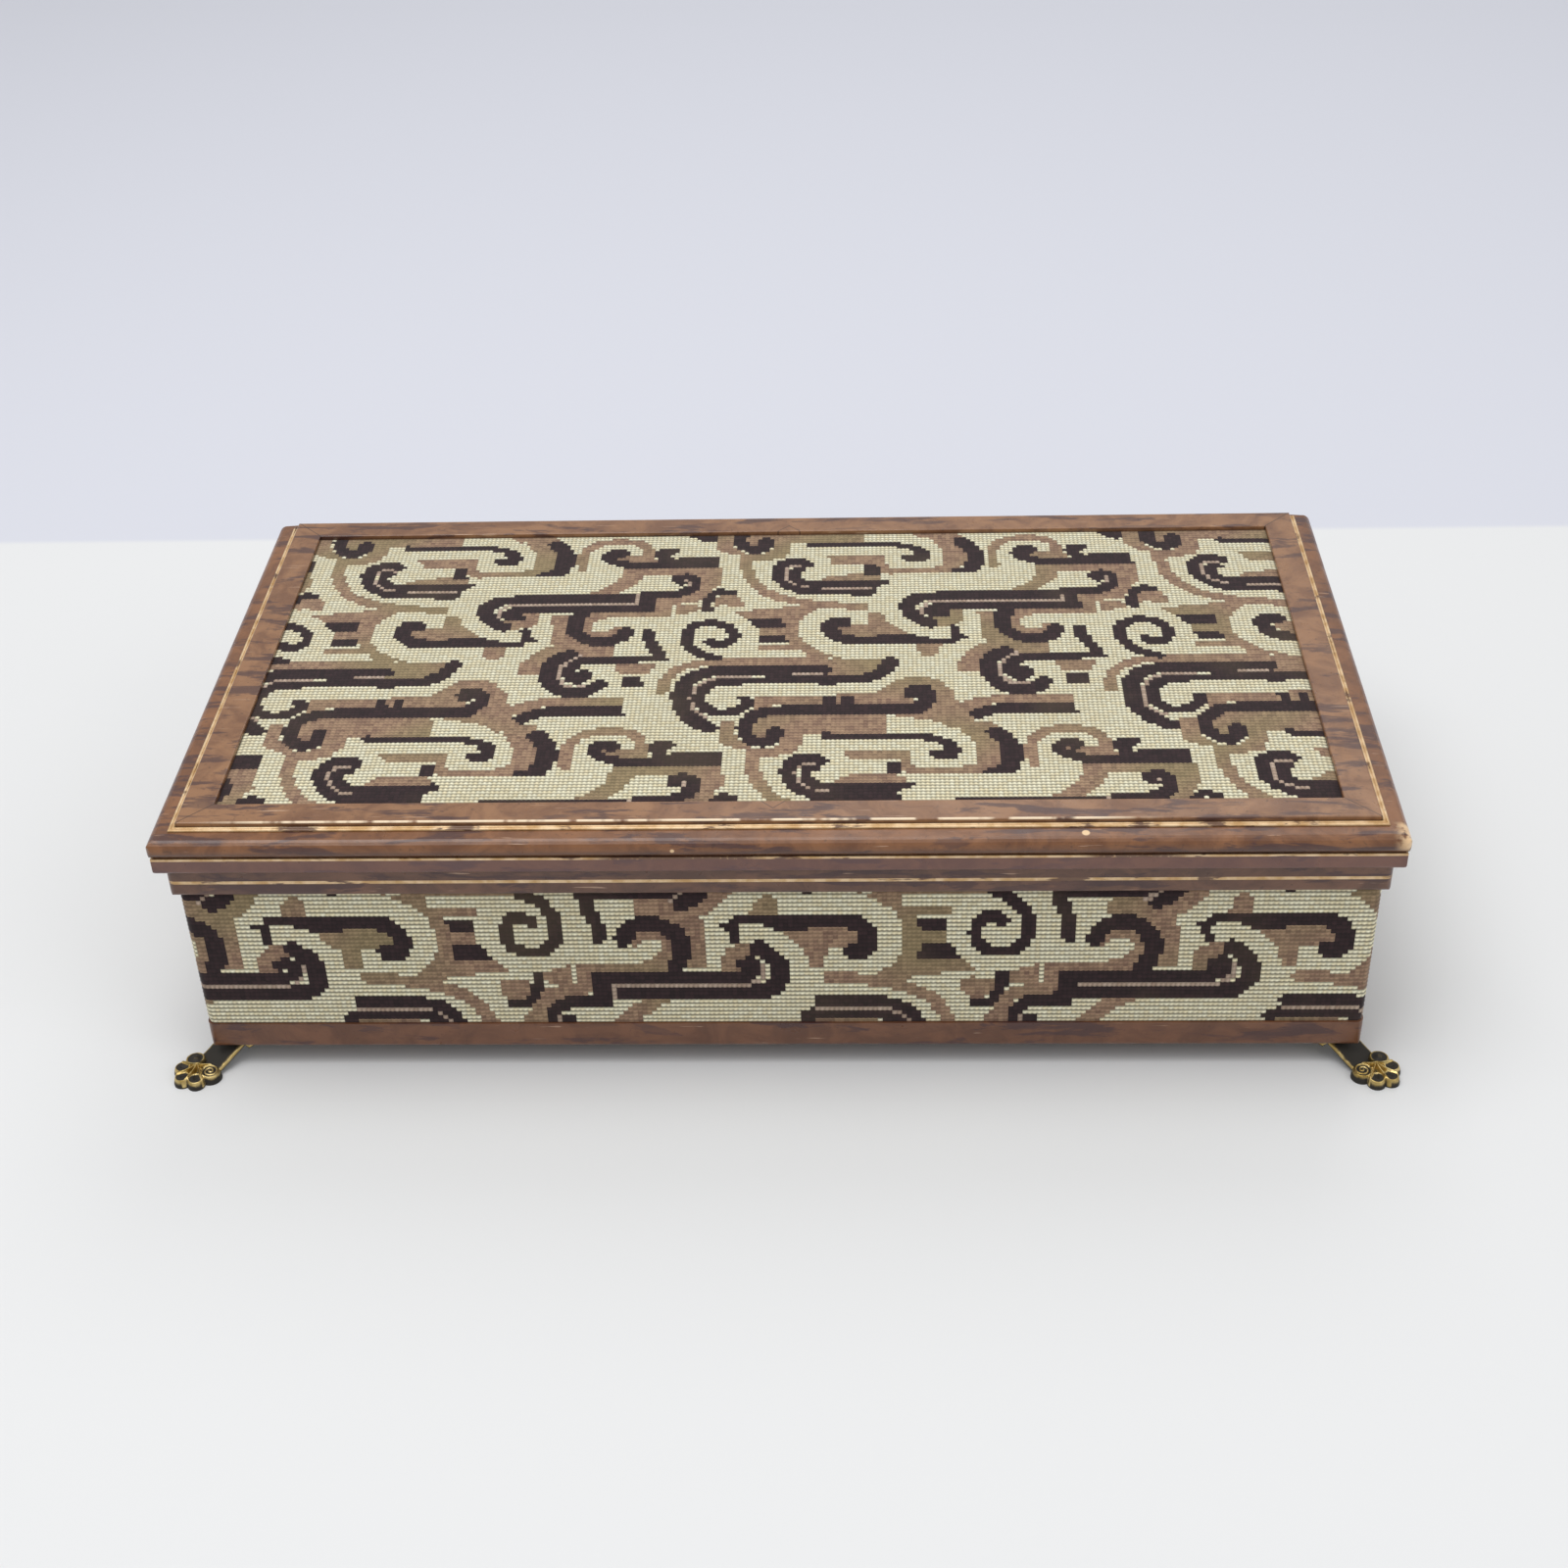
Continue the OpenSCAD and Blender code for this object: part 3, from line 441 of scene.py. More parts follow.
DARK_STROKES = [
    (4.6, [(70.3, 5), (72.6, 8.5), (73.6, 12.5), (73.2, 16.5), (71.8, 20.3)]),
    (2.4, [(67, 22), (72, 21)]),
    (3.2, [(90, 10.2), (87.5, 9.2), (85.7, 10.8), (85.6, 13.2), (88, 15.4), (92, 17)]),
    (3.8, [(89.2, 10.3), (87.4, 9.7)]),
    (3.2, [(104, 9.3), (101.5, 9.3), (100.8, 11.5), (102.2, 13.6)]),
    (3.5, [(106.6, 26.6), (106.3, 24.6), (109.5, 24), (110.6, 27), (109.8, 31), (106, 33.2)]),
    (4.0, [(106.4, 24.8), (106.6, 26.4)]),
    (4.2, [(94.2, 35.9), (60, 35.9), (55, 36.6), (52.4, 39.5), (52.2, 44), (54.5, 48), (57.8, 50.4)]),
    (3.2, [(98, 41), (62, 41), (59.5, 41.8), (58.3, 44), (59.3, 46), (62, 45.3)]),
    (4.2, [(79, 44.6), (77.3, 47), (77.2, 52), (79, 56), (83, 58.5), (87, 58.6), (90.5, 56.5),
           (91.6, 53.4)]),
    (3.0, [(98, 54), (98.2, 58), (99.6, 61.5), (100.8, 64.5), (101.2, 66.5)]),
    (4.2, [(77, 65), (74, 66.5), (71.8, 70), (71.3, 75), (72.2, 79.5), (75, 83), (79, 84.6), (83, 83),
           (85.2, 80.2)]),
    (3.2, [(84, 67.7), (80, 68.2), (77.6, 71), (76.9, 75)]),
    (3.6, [(77.2, 74), (78.2, 77.5), (80.6, 77.6), (81, 75)]),
    (4.4, [(144.8, 73.3), (118, 73.4), (112, 75.4), (108.3, 79.5), (107, 85), (107.2, 91), (109.5, 96.5),
           (114.6, 101)]),
    (3.0, [(155, 78.6), (119, 78.6), (114.4, 81), (112, 85.5), (112.2, 90), (115, 93.8), (120, 94.2),
           (124, 91.2), (125, 89), (124, 87.6)]),
    (3.8, [(144, 78.6), (155, 78.3), (159, 76.3), (161.8, 73.2), (163.4, 69.8)]),
    (3.7, [(169, 92.7), (131, 92.7), (127, 94.6), (124.2, 98), (123.4, 102), (124.6, 106), (128, 108.4),
           (131, 106.6), (131.4, 102.6)]),
    (3.6, [(167, 92.7), (171, 90.6), (172.4, 87), (171.6, 83.6), (169, 82.6), (167, 84.4), (168, 86)]),
    (2.8, [(117, 67.6), (113.4, 66.6), (110, 63), (108.2, 58.5), (108.4, 53.8), (111, 50), (115, 48.8),
           (119, 50.2), (121.4, 53.5), (121.4, 57.5), (119.5, 60.3), (117, 61), (114.8, 59)]),
    (2.3, [(144.2, 5.8), (147, 6.5), (168, 6.4), (172, 7.6), (175, 9.6)]),
    (3.4, [(174.6, 9.4), (176.2, 11.6), (175.8, 14.4), (173.4, 15.4), (171.8, 14.2)]),
    (3.4, [(142.6, 17.2), (141, 15.8), (137.5, 16), (134.8, 18.4), (134, 22.5), (135, 26.5), (138, 30.4),
           (142, 32.8), (159.5, 33)]),
    (2.8, [(141, 20.4), (138.8, 21), (138.6, 24.6), (140.6, 27.4), (144, 28.8), (161, 28.6),
           (163.5, 27.8)]),
    (4.4, [(151.6, 49.6), (149, 49), (147.6, 52)]),
    (4.2, [(147.6, 51), (147.8, 55), (150.5, 58.2), (154, 59.2), (170, 58.6)]),
    (2.3, [(169, 58.8), (174, 59.3), (180.5, 59.3)]),
    (1.9, [(180.5, 59.3), (182, 57), (181.4, 52.6)]),
    (1.3, [(181.5, 57), (184.2, 57.6)]),
    (2.2, [(120.8, 33), (117.6, 32), (115.4, 34.6), (114, 38), (114.2, 42)]),
]
PALE_STROKES = [
    (1.1, [(95, 38.4), (60.5, 38.4), (57.5, 39.8), (56.2, 42.5), (56.4, 45.5)]),
    (1.1, [(94.9, 38.4), (94.9, 34)]),
    (1.1, [(80, 65.6), (77, 68), (74.6, 71.5), (74.1, 76), (75.6, 79.8), (78.6, 81.6), (81.5, 80.4)]),
    (1.1, [(145, 76.1), (118, 76.3), (113, 79.2), (110.2, 83.5), (109.7, 89), (110.8, 93.5),
           (114.5, 96.6)]),
    (1.0, [(141.9, 19.2), (139.3, 17.8), (136.8, 19.6), (136.1, 23), (137, 26.4), (139.8, 29.4),
           (143, 30.7),
           (160.4, 30.7)]),
    (1.1, [(108.6, 26.2), (108.7, 28.4)]),
]

def rounded(points, rounds=2):
    """Cuts the corners of an open line, so that a few points give a smooth curve."""
    line = np.array(points, float)
    for _ in range(rounds):
        a, b = line[:-1], line[1:]
        cut = np.empty((2 * len(a), 2))
        cut[0::2] = 0.75 * a + 0.25 * b
        cut[1::2] = 0.25 * a + 0.75 * b
        line = np.vstack([line[:1], cut[1:-1], line[-1:]])
    return line


def near_line(p, line, reach):
    """Which points lie within reach of an open line."""
    hit = np.zeros(len(p), bool)
    for a, b in zip(line[:-1], line[1:]):
        ab = b - a
        along = np.clip(((p - a) @ ab) / max(ab @ ab, 1e-9), 0, 1)
        hit |= np.hypot(*(p - a - along[:, None] * ab).T) < reach
    return hit


def inside(p, outline):
    """Which points lie inside a closed outline."""
    hit = np.zeros(len(p), bool)
    for a, b in zip(outline, np.roll(outline, -1, 0)):
        if a[1] != b[1]:
            crosses = (a[1] > p[:, 1]) != (b[1] > p[:, 1])
            hit ^= crosses & (p[:, 0] < (b[0] - a[0]) * (p[:, 1] - a[1]) / (b[1] - a[1]) + a[0])
    return hit


def motif():
    """Every area and stroke with its colour, from the lowest to the top one; an area has no reach."""
    for outline in TAUPE_AREAS:
        yield np.array(outline, float), None, TAUPE
    for width, line in TAUPE_STROKES:
        yield rounded(line), width / 2, TAUPE
    for outline in DARK_AREAS:
        yield np.array(outline, float), None, DARK
    for width, line in DARK_STROKES:
        yield rounded(line), width / 2 + DARK_SPREAD, DARK
    for width, line in PALE_STROKES:
        yield rounded(line), width / 2, PALE


def yarn_at(s, t):
    """The yarn that shows at each place of the cloth."""
    yarn = np.full(len(s), CREAM)
    u = (s - REPEAT_X0) % REPEAT_W + REPEAT_X0
    v = t % REPEAT_H
    for points, reach, colour in motif():
        lo, hi = points.min(0) - (reach or 0), points.max(0) + (reach or 0)
        for du in (-REPEAT_W, 0, REPEAT_W):
            for dv in (0, REPEAT_H):
                p = np.stack([u + du, v + dv], -1)
                near = np.flatnonzero(np.all((p > lo) & (p < hi), 1))
                if len(near):
                    p = p[near]
                    hit = inside(p, points) if reach is None else near_line(p, points, reach)
                    yarn[near[hit]] = colour
    return yarn


# Stitches, in millimetres, and the colours of the yarns
STITCH_W = 1.18
STITCH_H = 1.26
CROWN = 0.26
CROWN_ACROSS, CROWN_ALONG = 0.55, 0.45
YARN_COLOURS = {
    CREAM: ("FFFADC", "F7EBC4"), TAUPE: ("90765F", "72594A"),
    DARK: ("221215", "311E21"), PALE: ("C4AE9C", "A8907E")}
OLIVE = np.array(rgb("77714C"))
DYE_SPREAD = 0.035

# Shade at a stitch's corner, between two rows, between two columns, and at its centre, as a factor on the
# yarn's colour: painted shade in the gaps between stitches, where a dark warp also shows; the wall's cream
# has its own painted shade
CREAM_SHADE = (0.16, 0.3, 0.62, 1.0)
WALL_CREAM_SHADE = (0.12, 0.18, 0.8, 1.08)
TAUPE_SHADE = (1.2, 1.5, 0.78, 0.82)
DARK_SHADE = (0.55, 0.75, 0.9, 1.1)
PALE_SHADE = (0.4, 0.6, 0.6, 1.0)


def stitch_colours(yarn, rows, cols, seed):
    """One colour for each stitch, uneven as dyed yarn is; the taupe turns olive in places."""
    random = np.random.default_rng(seed)
    row, col = np.divmod(np.arange(rows * cols), cols)
    out = np.zeros((rows * cols, 3))
    for kind, (a, b) in YARN_COLOURS.items():
        here = yarn == kind
        share = random.random(here.sum())
        out[here] = np.outer(1 - share, rgb(a)) + np.outer(share, rgb(b))
    wave = np.sin(col / 9.0 + 1.7 * np.sin(row / 13.0)) * np.sin(row / 8.0 + 1.1 * np.sin(col / 17.0))
    taupe_olive = np.clip(0.1 + 0.45 * wave, 0, 0.5)
    olive = np.where(yarn == TAUPE, taupe_olive, np.where(yarn == CREAM, 0.02, 0))
    out = out * (1 - olive[:, None]) + OLIVE * olive[:, None]
    return out * random.normal(1, DYE_SPREAD, (rows * cols, 1)).clip(0.85, 1.15)


# Tapestry mesh: four faces to a stitch, crowned, and coloured by the yarn that shows there, with painted
# shade in the gaps between stitches
UV_FILL = 0.96


def tapestry(name, cols, rows, closed, place, cloth, strips, seed, cream_shade):
    """A woven sheet. place(i, j, lift) gives points, and cloth(i, j) the place in the pattern."""
    ring = 2 * cols if closed else 2 * cols + 1
    j, i = np.mgrid[0:2 * rows + 1, 0:ring]
    lift = (CROWN_ACROSS * (i % 2) + CROWN_ALONG * (j % 2)) * CROWN
    points = place(i.ravel() / 2, j.ravel() / 2, lift.ravel())
    qj, qi = np.mgrid[0:2 * rows, 0:2 * cols]
    qi, qj = qi.ravel(), qj.ravel()
    corner_i = np.stack([qi, qi + 1, qi + 1, qi], 1)
    corner_j = np.stack([qj, qj, qj + 1, qj + 1], 1)
    faces = corner_j * ring + corner_i % ring
    cj, ci = np.mgrid[0:rows, 0:cols]
    yarn = yarn_at(*cloth(ci.ravel() + 0.5, cj.ravel() + 0.5))
    colours = stitch_colours(yarn, rows, cols, seed)
    stitch = (qj // 2) * cols + qi // 2
    # Painted shade: each face corner takes the factor of its place in the stitch from the shade table
    shade = np.array([cream_shade, TAUPE_SHADE, DARK_SHADE, PALE_SHADE])
    shades = shade[yarn[stitch][:, None], (corner_i % 2) + 2 * (corner_j % 2)]
    corners = np.ones((len(faces), 4, 4))
    corners[..., :3] = colours[stitch][:, None] * shades[..., None]

    mesh = bpy.data.meshes.new(name)
    mesh.from_pydata(points.tolist(), [], faces.tolist())
    # The yarn layer carries the painted shade of the gaps as well as the yarn's colour
    layer = mesh.color_attributes.new("yarn", "FLOAT_COLOR", "CORNER")
    layer.data.foreach_set("color", corners.ravel())
    strip_cols = 2 * cols / strips
    strip = (qi // strip_cols)[:, None]
    across = (corner_i - strip * strip_cols) / strip_cols
    up = (strip + corner_j / (2 * rows) * UV_FILL) / strips
    uv = np.stack([across, up], -1)
    mesh.uv_layers.new(name="OFBake").data.foreach_set("uv", uv.ravel())
    mesh.shade_smooth()
    mesh.update()
    piece = bpy.data.objects.new(name, mesh)
    bpy.context.collection.objects.link(piece)
    return piece


# Lid panel: rows run along the box, and the pattern leans a little, as it was glued on
PATTERN_LEAN = 0.057
PUFF = 0.1
LID_BED = 0.22
LID_PUCKER = 0.06
LID_TUCK = 1.5
LID_SEED = 11
lid_lo, lid_hi = [np.array(v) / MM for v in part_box("lid_brocade")]
lid_w, lid_d = (lid_hi - lid_lo)[:2]
lid_cols = int(lid_w / STITCH_W)
lid_rows = int(lid_d / STITCH_H)


def lid_place(i, j, lift):
    """A place on the panel, which is tucked down along its edges."""
    x = lid_lo[0] + i * lid_w / lid_cols
    y = lid_hi[1] - j * lid_d / lid_rows
    pucker = LID_PUCKER * np.sin(x / 11) * np.sin(y / 9 + x / 40)
    from_side = np.minimum(x - lid_lo[0], lid_hi[0] - x)
    from_end = np.minimum(y - lid_lo[1], lid_hi[1] - y)
    edge = np.minimum(1, np.minimum(from_side, from_end) / LID_TUCK)
    z = lid_lo[2] + LID_BED + edge * (lift + PUFF + pucker)
    return np.stack([x, y, z], -1) * MM


def lid_cloth(i, j):
    x, t = i * lid_w / lid_cols, j * lid_d / lid_rows
    return x - PATTERN_LEAN * t, t


# Wall strip: the same cloth turned upside down, wrapped round all four walls
WALL_PATTERN_AT = (22.0, 26.0)
WALL_LEAN = 0.03
WALL_CORNER = 1.8
WALL_BED = -0.3
WALL_TUCK = 1.2
WALL_STRETCH = 0.965
WALL_STRIPS = 3
WALL_SEED = 12
wall_lo, wall_hi = [np.array(v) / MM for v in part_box("wall_brocade")]
wall_hx, wall_hy = wall_hi[0], wall_hi[1]
wall_h = wall_hi[2] - wall_lo[2]
quarter = math.pi / 2 * WALL_CORNER
long_run, short_run = 2 * (wall_hx - WALL_CORNER), 2 * (wall_hy - WALL_CORNER)
wall_round = 2 * (long_run + short_run) + 4 * quarter
wall_cols = WALL_STRIPS * int(wall_round / STITCH_W / WALL_STRIPS * WALL_STRETCH)
wall_rows = int(wall_h / STITCH_H)


def wall_point(q, out):
    """A place round the walls, from the middle of the back, and its distance out."""
    q = (q + long_run / 2) % wall_round
    p = np.zeros((len(q), 2))
    normal_angle = np.zeros(len(q))
    start = 0.0
    corner = np.array([wall_hx - WALL_CORNER, wall_hy - WALL_CORNER])
    sides = [(long_run, (1, 1), (-1, 0), 90), (short_run, (-1, 1), (0, -1), 180),
             (long_run, (-1, -1), (1, 0), 270), (short_run, (1, -1), (0, 1), 360)]
    for length, sign, along, angle in sides:
        here = (q >= start) & (q < start + length)
        p[here] = corner * sign + np.outer(q[here] - start, along)
        normal_angle[here] = math.radians(angle)
        start += length
        here = (q >= start) & (q <= start + quarter)
        end = corner * sign + np.array(along) * length
        p[here] = end
        normal_angle[here] = math.radians(angle) + (q[here] - start) / WALL_CORNER
        start += quarter
    normal = np.stack([np.cos(normal_angle), np.sin(normal_angle)], -1)
    return p + normal * (WALL_CORNER + out)[:, None]


def wall_place(i, j, lift):
    """A place on the strip, which is tucked in along its upper and lower edge."""
    q = i * wall_round / wall_cols
    h = j * wall_h / wall_rows
    edge = np.minimum(1, np.minimum(h, wall_h - h) / WALL_TUCK)
    xy = wall_point(q, WALL_BED + edge * (lift + PUFF))
    return np.column_stack([xy, wall_lo[2] + h]) * MM


def wall_cloth(i, j):
    q = i * wall_round / wall_cols
    front_middle = wall_round / 2
    x = q - front_middle
    h = j * wall_h / wall_rows
    return WALL_PATTERN_AT[0] + wall_hx - x + WALL_LEAN * h, WALL_PATTERN_AT[1] + h


def add_tapestry():
    yarn = woven_yarn("woven_tapestry")
    panel = tapestry("lid_tapestry", lid_cols, lid_rows, False, lid_place, lid_cloth,
                     1, LID_SEED, CREAM_SHADE)
    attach(panel, "lid")
    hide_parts("lid_brocade")
    strip = tapestry("wall_tapestry", wall_cols, wall_rows, True, wall_place, wall_cloth,
                     WALL_STRIPS, WALL_SEED, WALL_CREAM_SHADE)
    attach(strip, "case")
    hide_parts("wall_brocade")
    for piece in (panel, strip):
        piece.data.materials.append(yarn)


# Finishes of the pieces that keep their CAD shape
SIDES = ("front", "back", "left", "right")


def dress(material, *names):
    for name in names:
        piece = nodes[name]
        piece.data.materials.clear()
        piece.data.materials.append(material)


def dress_frame():
    plate = leather("plate_leatherette", "80583A", "5E3D2A", "98704E", plate_marks_and_shade)
    moulding = leather("moulding_leatherette", "74492A", "563420", "8C5F3C", moulding_marks_and_shade)
    rim = leather("rim_leatherette", "604232", "482F26", "76523F")
    plinth = leather("plinth_leatherette", "66402A", "503020", "7A5036")
    hinges = ["hinge_" + a + "_" + b for a in ("left", "right") for b in ("lower_leaf", "upper_leaf", "pin")]
    dress(plate, *["plate_" + s for s in SIDES])
    dress(moulding, "lid_moulding_front", "lid_moulding_left", "lid_moulding_right", "lid_back_rail")
    dress(rim, *["rim_" + s for s in SIDES])
    dress(plinth, *["plinth_" + s for s in SIDES])
    dress(gilt("gilt_under_nose", NOSE_LINE_GAPS), "lid_gilt_line")
    dress(gilt("gilt_lines"), "plate_gilt_line", "rim_gilt_line")
    dress(old_brass("hinge_brass"), "foot_screws", "lower_hinge_screws", "upper_hinge_screws", *hinges)
    dress(velvet("velvet"), "floor_pad", "lid_lining", *["lining_" + s for s in SIDES])
    dress(wood("pale_wood"), "floor_board", "lid_core", *[s + "_board" for s in SIDES])


# Cast feet: s runs out along the corner's diagonal, t sideways, in millimetres
FOOT_H = 6.2
STRAP_T = 1.3
STRAP_W = 8.4
FLANGE_W = 12.0
FLANGE_FROM = -19.5
STRAP_FROM = -6.5
STRAP_TO = 2.6
STRAP_SIDES = 28
PAW_RIM = 1.7
PAW_SPOKES = 180
PAW_RINGS = 34
RING_SPREAD = 0.9
FAN = (5.4, 0.0)
HUB_R = 2.4
TOES = [((10.2, 0.0), 2.3), ((8.2, 3.2), 2.3), ((8.2, -3.2), 2.3)]
VOLUTES = [((4.0, 3.6), 2.8), ((4.0, -3.6), 2.8)]
GAPS = [(11.2, 2.0), (11.2, -2.0), (7.4, 5.8), (7.4, -5.8), (1.9, 1.6), (1.9, -1.6)]
LOBE_DOME = 0.75
LOBE_RIM = 0.35
TOE_GROOVE = 0.4
COIL_START, COIL_PITCH = 0.35, 0.16
EYE_H = 0.5
RIB_H, RIB_FALL = 1.9, 0.9
KNOB_H = 0.5

# Each foot's name, the signs of its corner, and the turn of its diagonal in degrees
FEET = [("front_left", -1, -1, 225), ("front_right", 1, -1, 315),
        ("back_left", -1, 1, 135), ("back_right", 1, 1, 45)]


def soft_ridge(d, half):
    return np.exp(-(d / half) ** 2)


def to_segment(s, t, a, b):
    """Distance from a segment, and how far along it, from 0 to 1."""
    a, b = np.array(a), np.array(b)
    ab = b - a
    k = np.clip(((s - a[0]) * ab[0] + (t - a[1]) * ab[1]) / (ab @ ab), 0, 1)
    return np.hypot(s - a[0] - k * ab[0], t - a[1] - k * ab[1]), k


def add_lobe(z, crest, d, r):
    """A domed lobe with a raised rim, at the distances d from its middle."""
    z = np.maximum(z, PAW_RIM + LOBE_DOME * np.sqrt(np.clip(1 - (d / r) ** 2, 0, 1)))
    rim = soft_ridge(d - 0.8 * r, 0.3) * (d < r)
    return z + LOBE_RIM * rim, np.maximum(crest, 0.7 * rim)


def paw_height(s, t, coil_side):
    """Height of the paw's top, and how far each place stands up as a rubbed ridge."""
    z = np.full(s.shape, PAW_RIM)
    crest = np.zeros(s.shape)
    for middle, r in TOES:
        d = np.hypot(s - middle[0], t - middle[1])
        z, crest = add_lobe(z, crest, d, r)
        spine, _ = to_segment(s, t, FAN, middle)
        z = z - TOE_GROOVE * soft_ridge(spine, 0.5) * (d < 0.7 * r)
    for (cs, ct), r in VOLUTES:
        d = np.hypot(s - cs, t - ct)
        z, crest = add_lobe(z, crest, d, r)
        if ct * coil_side > 0:
            turn = np.arctan2(t - ct, s - cs) * np.sign(ct)
            coil = np.abs((d - COIL_START - COIL_PITCH * (turn % (2 * np.pi))) % 1.0 - 0.5)
            eye = soft_ridge(coil - 0.5, 0.22) * (d < 0.8 * r)
            crest = np.maximum(crest, 0.85 * eye)
        else:
            eye = soft_ridge(d, 1.1)
            crest = np.maximum(crest, 0.3 * eye)
        z = z + EYE_H * eye
    for gap in GAPS:
        d, k = to_segment(s, t, FAN, gap)
        rib = soft_ridge(d, 0.42)
        z = np.maximum(z, (PAW_RIM + RIB_H - RIB_FALL * k) * rib)
        crest = np.maximum(crest, rib)
    knob = soft_ridge(np.hypot(s - FAN[0], t - FAN[1]), 1.0)
    return z + KNOB_H * knob, np.maximum(crest, knob)


def paw_reach(angle):
    """Distance from the fan's middle to the outline of the lobes, along each angle."""
    cosine, sine = np.cos(angle), np.sin(angle)
    reach = np.full(angle.shape, HUB_R)
    for (cs, ct), r in TOES + VOLUTES:
        ds, dt = cs - FAN[0], ct - FAN[1]
        along = ds * cosine + dt * sine
        inner = r * r - (ds * ds + dt * dt - along ** 2)
        exit_at = along + np.sqrt(np.clip(inner, 0, None))
        reach = np.where(inner > 0, np.maximum(reach, exit_at), reach)
    return reach


def paw_mesh(coil_side):
    """Rings of points from the fan's middle out to the outline, and then down to the floor."""
    angle = np.linspace(0, 2 * np.pi, PAW_SPOKES, endpoint=False)
    reach = paw_reach(angle)
    shares = [(k / PAW_RINGS) ** RING_SPREAD for k in range(1, PAW_RINGS + 1)]
    rows = [np.array([FAN])]
    for share in shares:
        s = FAN[0] + share * reach * np.cos(angle)
        t = FAN[1] + share * reach * np.sin(angle)
        rows.append(np.column_stack([s, t]))
    flat = np.vstack(rows)
    z, crest = paw_height(flat[:, 0], flat[:, 1], coil_side)
    share = np.concatenate([[0], np.repeat(shares, PAW_SPOKES)])
    z *= np.sqrt(np.clip(1 - ((share - 0.88).clip(0) / 0.125) ** 2, 0.12, 1))
    floor_ring = np.column_stack([rows[-1], np.zeros(PAW_SPOKES)])
    points = np.vstack([np.column_stack([flat, z]), floor_ring, [[*FAN, 0]]])
    crest = np.concatenate([crest, np.zeros(PAW_SPOKES + 1)])
    around = [(a, (a + 1) % PAW_SPOKES) for a in range(PAW_SPOKES)]
    faces = [(0, 1 + a, 1 + b) for a, b in around]
    for k in range(PAW_RINGS):
        inner = 1 + k * PAW_SPOKES
        outer = inner + PAW_SPOKES
        faces += [(inner + a, outer + a, outer + b, inner + b) for a, b in around]
    last = len(points) - 1
    faces += [(last - PAW_SPOKES + a, last, last - PAW_SPOKES + b) for a, b in around]
    return points, faces, crest


def strap_mesh():
    """Flange, sloping strap and toe under the paw, as one bent bar with softened edges."""
    level = FOOT_H - STRAP_T / 2
    line = rounded([(FLANGE_FROM, level), (STRAP_FROM - 0.8, level), (STRAP_FROM + 0.6, level - 0.5),
                    (STRAP_TO - 0.9, 1.2), (STRAP_TO + 1.4, 0.75)], 3)
    slope = np.gradient(line, axis=0)
    slope /= np.hypot(*slope.T)[:, None]
    normal = np.column_stack([-slope[:, 1], slope[:, 0]])
    turn = np.linspace(0, 2 * np.pi, STRAP_SIDES, endpoint=False)
    across = np.sign(np.cos(turn)) * np.abs(np.cos(turn)) ** 0.25
    up = np.sign(np.sin(turn)) * np.abs(np.sin(turn)) ** 0.4
    lift = STRAP_T / 2 * up
    points = []
    for (s, z), n in zip(line, normal):
        wide = FLANGE_W if s < STRAP_FROM - 0.5 else STRAP_W
        points += [(s + n[0] * h, wide / 2 * a, max(z + n[1] * h, 0)) for a, h in zip(across, lift)]
    crest = np.tile(0.65 * np.abs(across) ** 6 * (up > -0.5), len(line))
    starts = [k * STRAP_SIDES for k in range(len(line))]
    around = [(a, (a + 1) % STRAP_SIDES) for a in range(STRAP_SIDES)]
    faces = [(k + a, k + STRAP_SIDES + a, k + STRAP_SIDES + b, k + b) for k in starts[:-1] for a, b in around]
    faces.append(tuple(range(STRAP_SIDES)))
    faces.append(tuple(range(starts[-1], starts[-1] + STRAP_SIDES))[::-1])
    return np.array(points), faces, crest


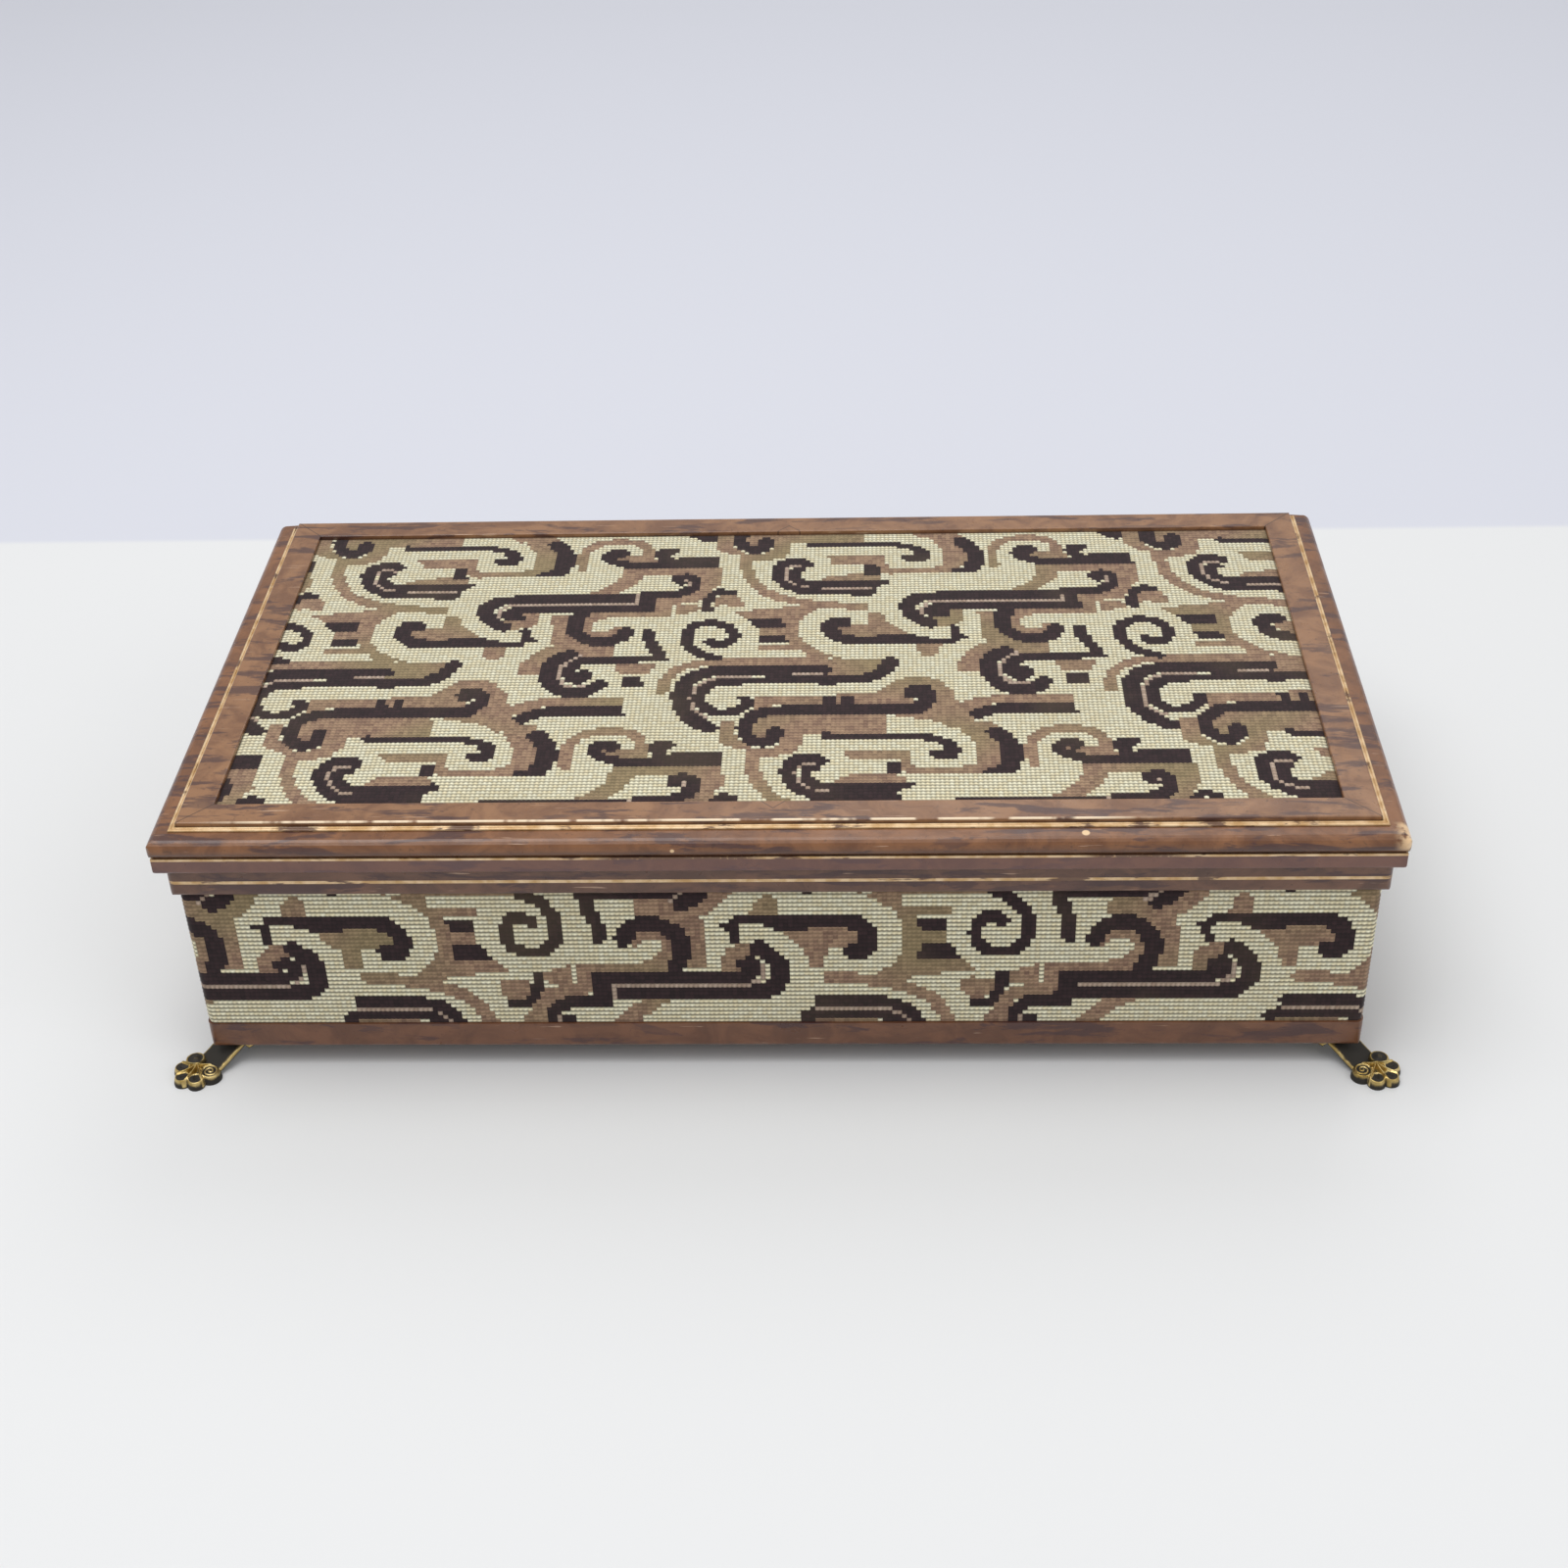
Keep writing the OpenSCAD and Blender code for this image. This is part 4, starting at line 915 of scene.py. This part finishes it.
def add_feet():
    """Each foot stands at its corner of the walls, with the coiled volute to the front or back."""
    brass = old_brass("cast_foot_brass", crest_layer="crest")
    strap_points, strap_faces, strap_crest = strap_mesh()
    for name, cx, cy, turn in FEET:
        paw_points, paw_faces, paw_crest = paw_mesh(cx * cy)
        offset = len(paw_points)
        points = np.vstack([paw_points, strap_points])
        faces = paw_faces + [tuple(v + offset for v in face) for face in strap_faces]
        cosine, sine = math.cos(math.radians(turn)), math.sin(math.radians(turn))
        x = cx * wall_hx + cosine * points[:, 0] - sine * points[:, 1]
        y = cy * wall_hy + sine * points[:, 0] + cosine * points[:, 1]
        mesh = bpy.data.meshes.new("cast_foot_" + name)
        mesh.from_pydata((np.column_stack([x, y, points[:, 2]]) * MM).tolist(), [], faces)
        crest = mesh.attributes.new("crest", "FLOAT", "POINT")
        crest.data.foreach_set("value", np.concatenate([paw_crest, strap_crest]))
        mesh.shade_smooth()
        mesh.materials.append(brass)
        piece = bpy.data.objects.new("cast_foot_" + name, mesh)
        bpy.context.collection.objects.link(piece)
        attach(piece, "case")
        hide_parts("foot_" + name)


# Studio: one pale floor whose far part has another tone, and soft light
FLOOR_SIZE = 12.0
FLOOR = rgb("DCDDDE")
FAR_FLOOR = rgb("CFD1DA")
FAR_TONE_Y = 0.205
FAR_TONE_SOFT = 0.002
WORLD_STRENGTH = 0.58
LAMP_AIM = (0, 0, 0.04)

# Each lamp's name, place and size in metres, and power in watts
LAMPS = [("key", (-0.3, -0.2, 1.45), 1.0, 12.5), ("fill", (0.9, -0.7, 0.9), 0.8, 2.5),
         ("back", (0.2, 0.9, 1.2), 0.8, 3.0)]


def add_floor():
    m = Material("studio_floor", roughness=0.9, specular=0.1)
    far = m.step(m.y, FAR_TONE_Y - FAR_TONE_SOFT, FAR_TONE_Y + FAR_TONE_SOFT)
    m.finish(m.mix(far, FLOOR, FAR_FLOOR))
    half = FLOOR_SIZE / 2
    corners = [(-half, -half, 0), (half, -half, 0), (half, half, 0), (-half, half, 0)]
    mesh = bpy.data.meshes.new("floor")
    mesh.from_pydata(corners, [], [(0, 1, 2, 3)])
    mesh.materials.append(m.material)
    floor = bpy.data.objects.new("floor", mesh)
    bpy.context.collection.objects.link(floor)


def add_light():
    world = bpy.data.worlds.new("studio")
    bpy.context.scene.world = world
    world.use_nodes = True
    background = world.node_tree.nodes["Background"]
    background.inputs["Color"].default_value = (1, 1, 1, 1)
    background.inputs["Strength"].default_value = WORLD_STRENGTH
    for name, place, size, power in LAMPS:
        data = bpy.data.lights.new(name, "AREA")
        data.size = size
        data.energy = power
        lamp = bpy.data.objects.new(name, data)
        lamp.location = place
        aim = Vector(LAMP_AIM) - Vector(place)
        lamp.rotation_euler = aim.to_track_quat("-Z", "Y").to_euler()
        bpy.context.collection.objects.link(lamp)


add_camera()
add_floor()
add_light()
dress_frame()
add_tapestry()
add_feet()

bpy.context.scene.view_settings.view_transform = "Standard"
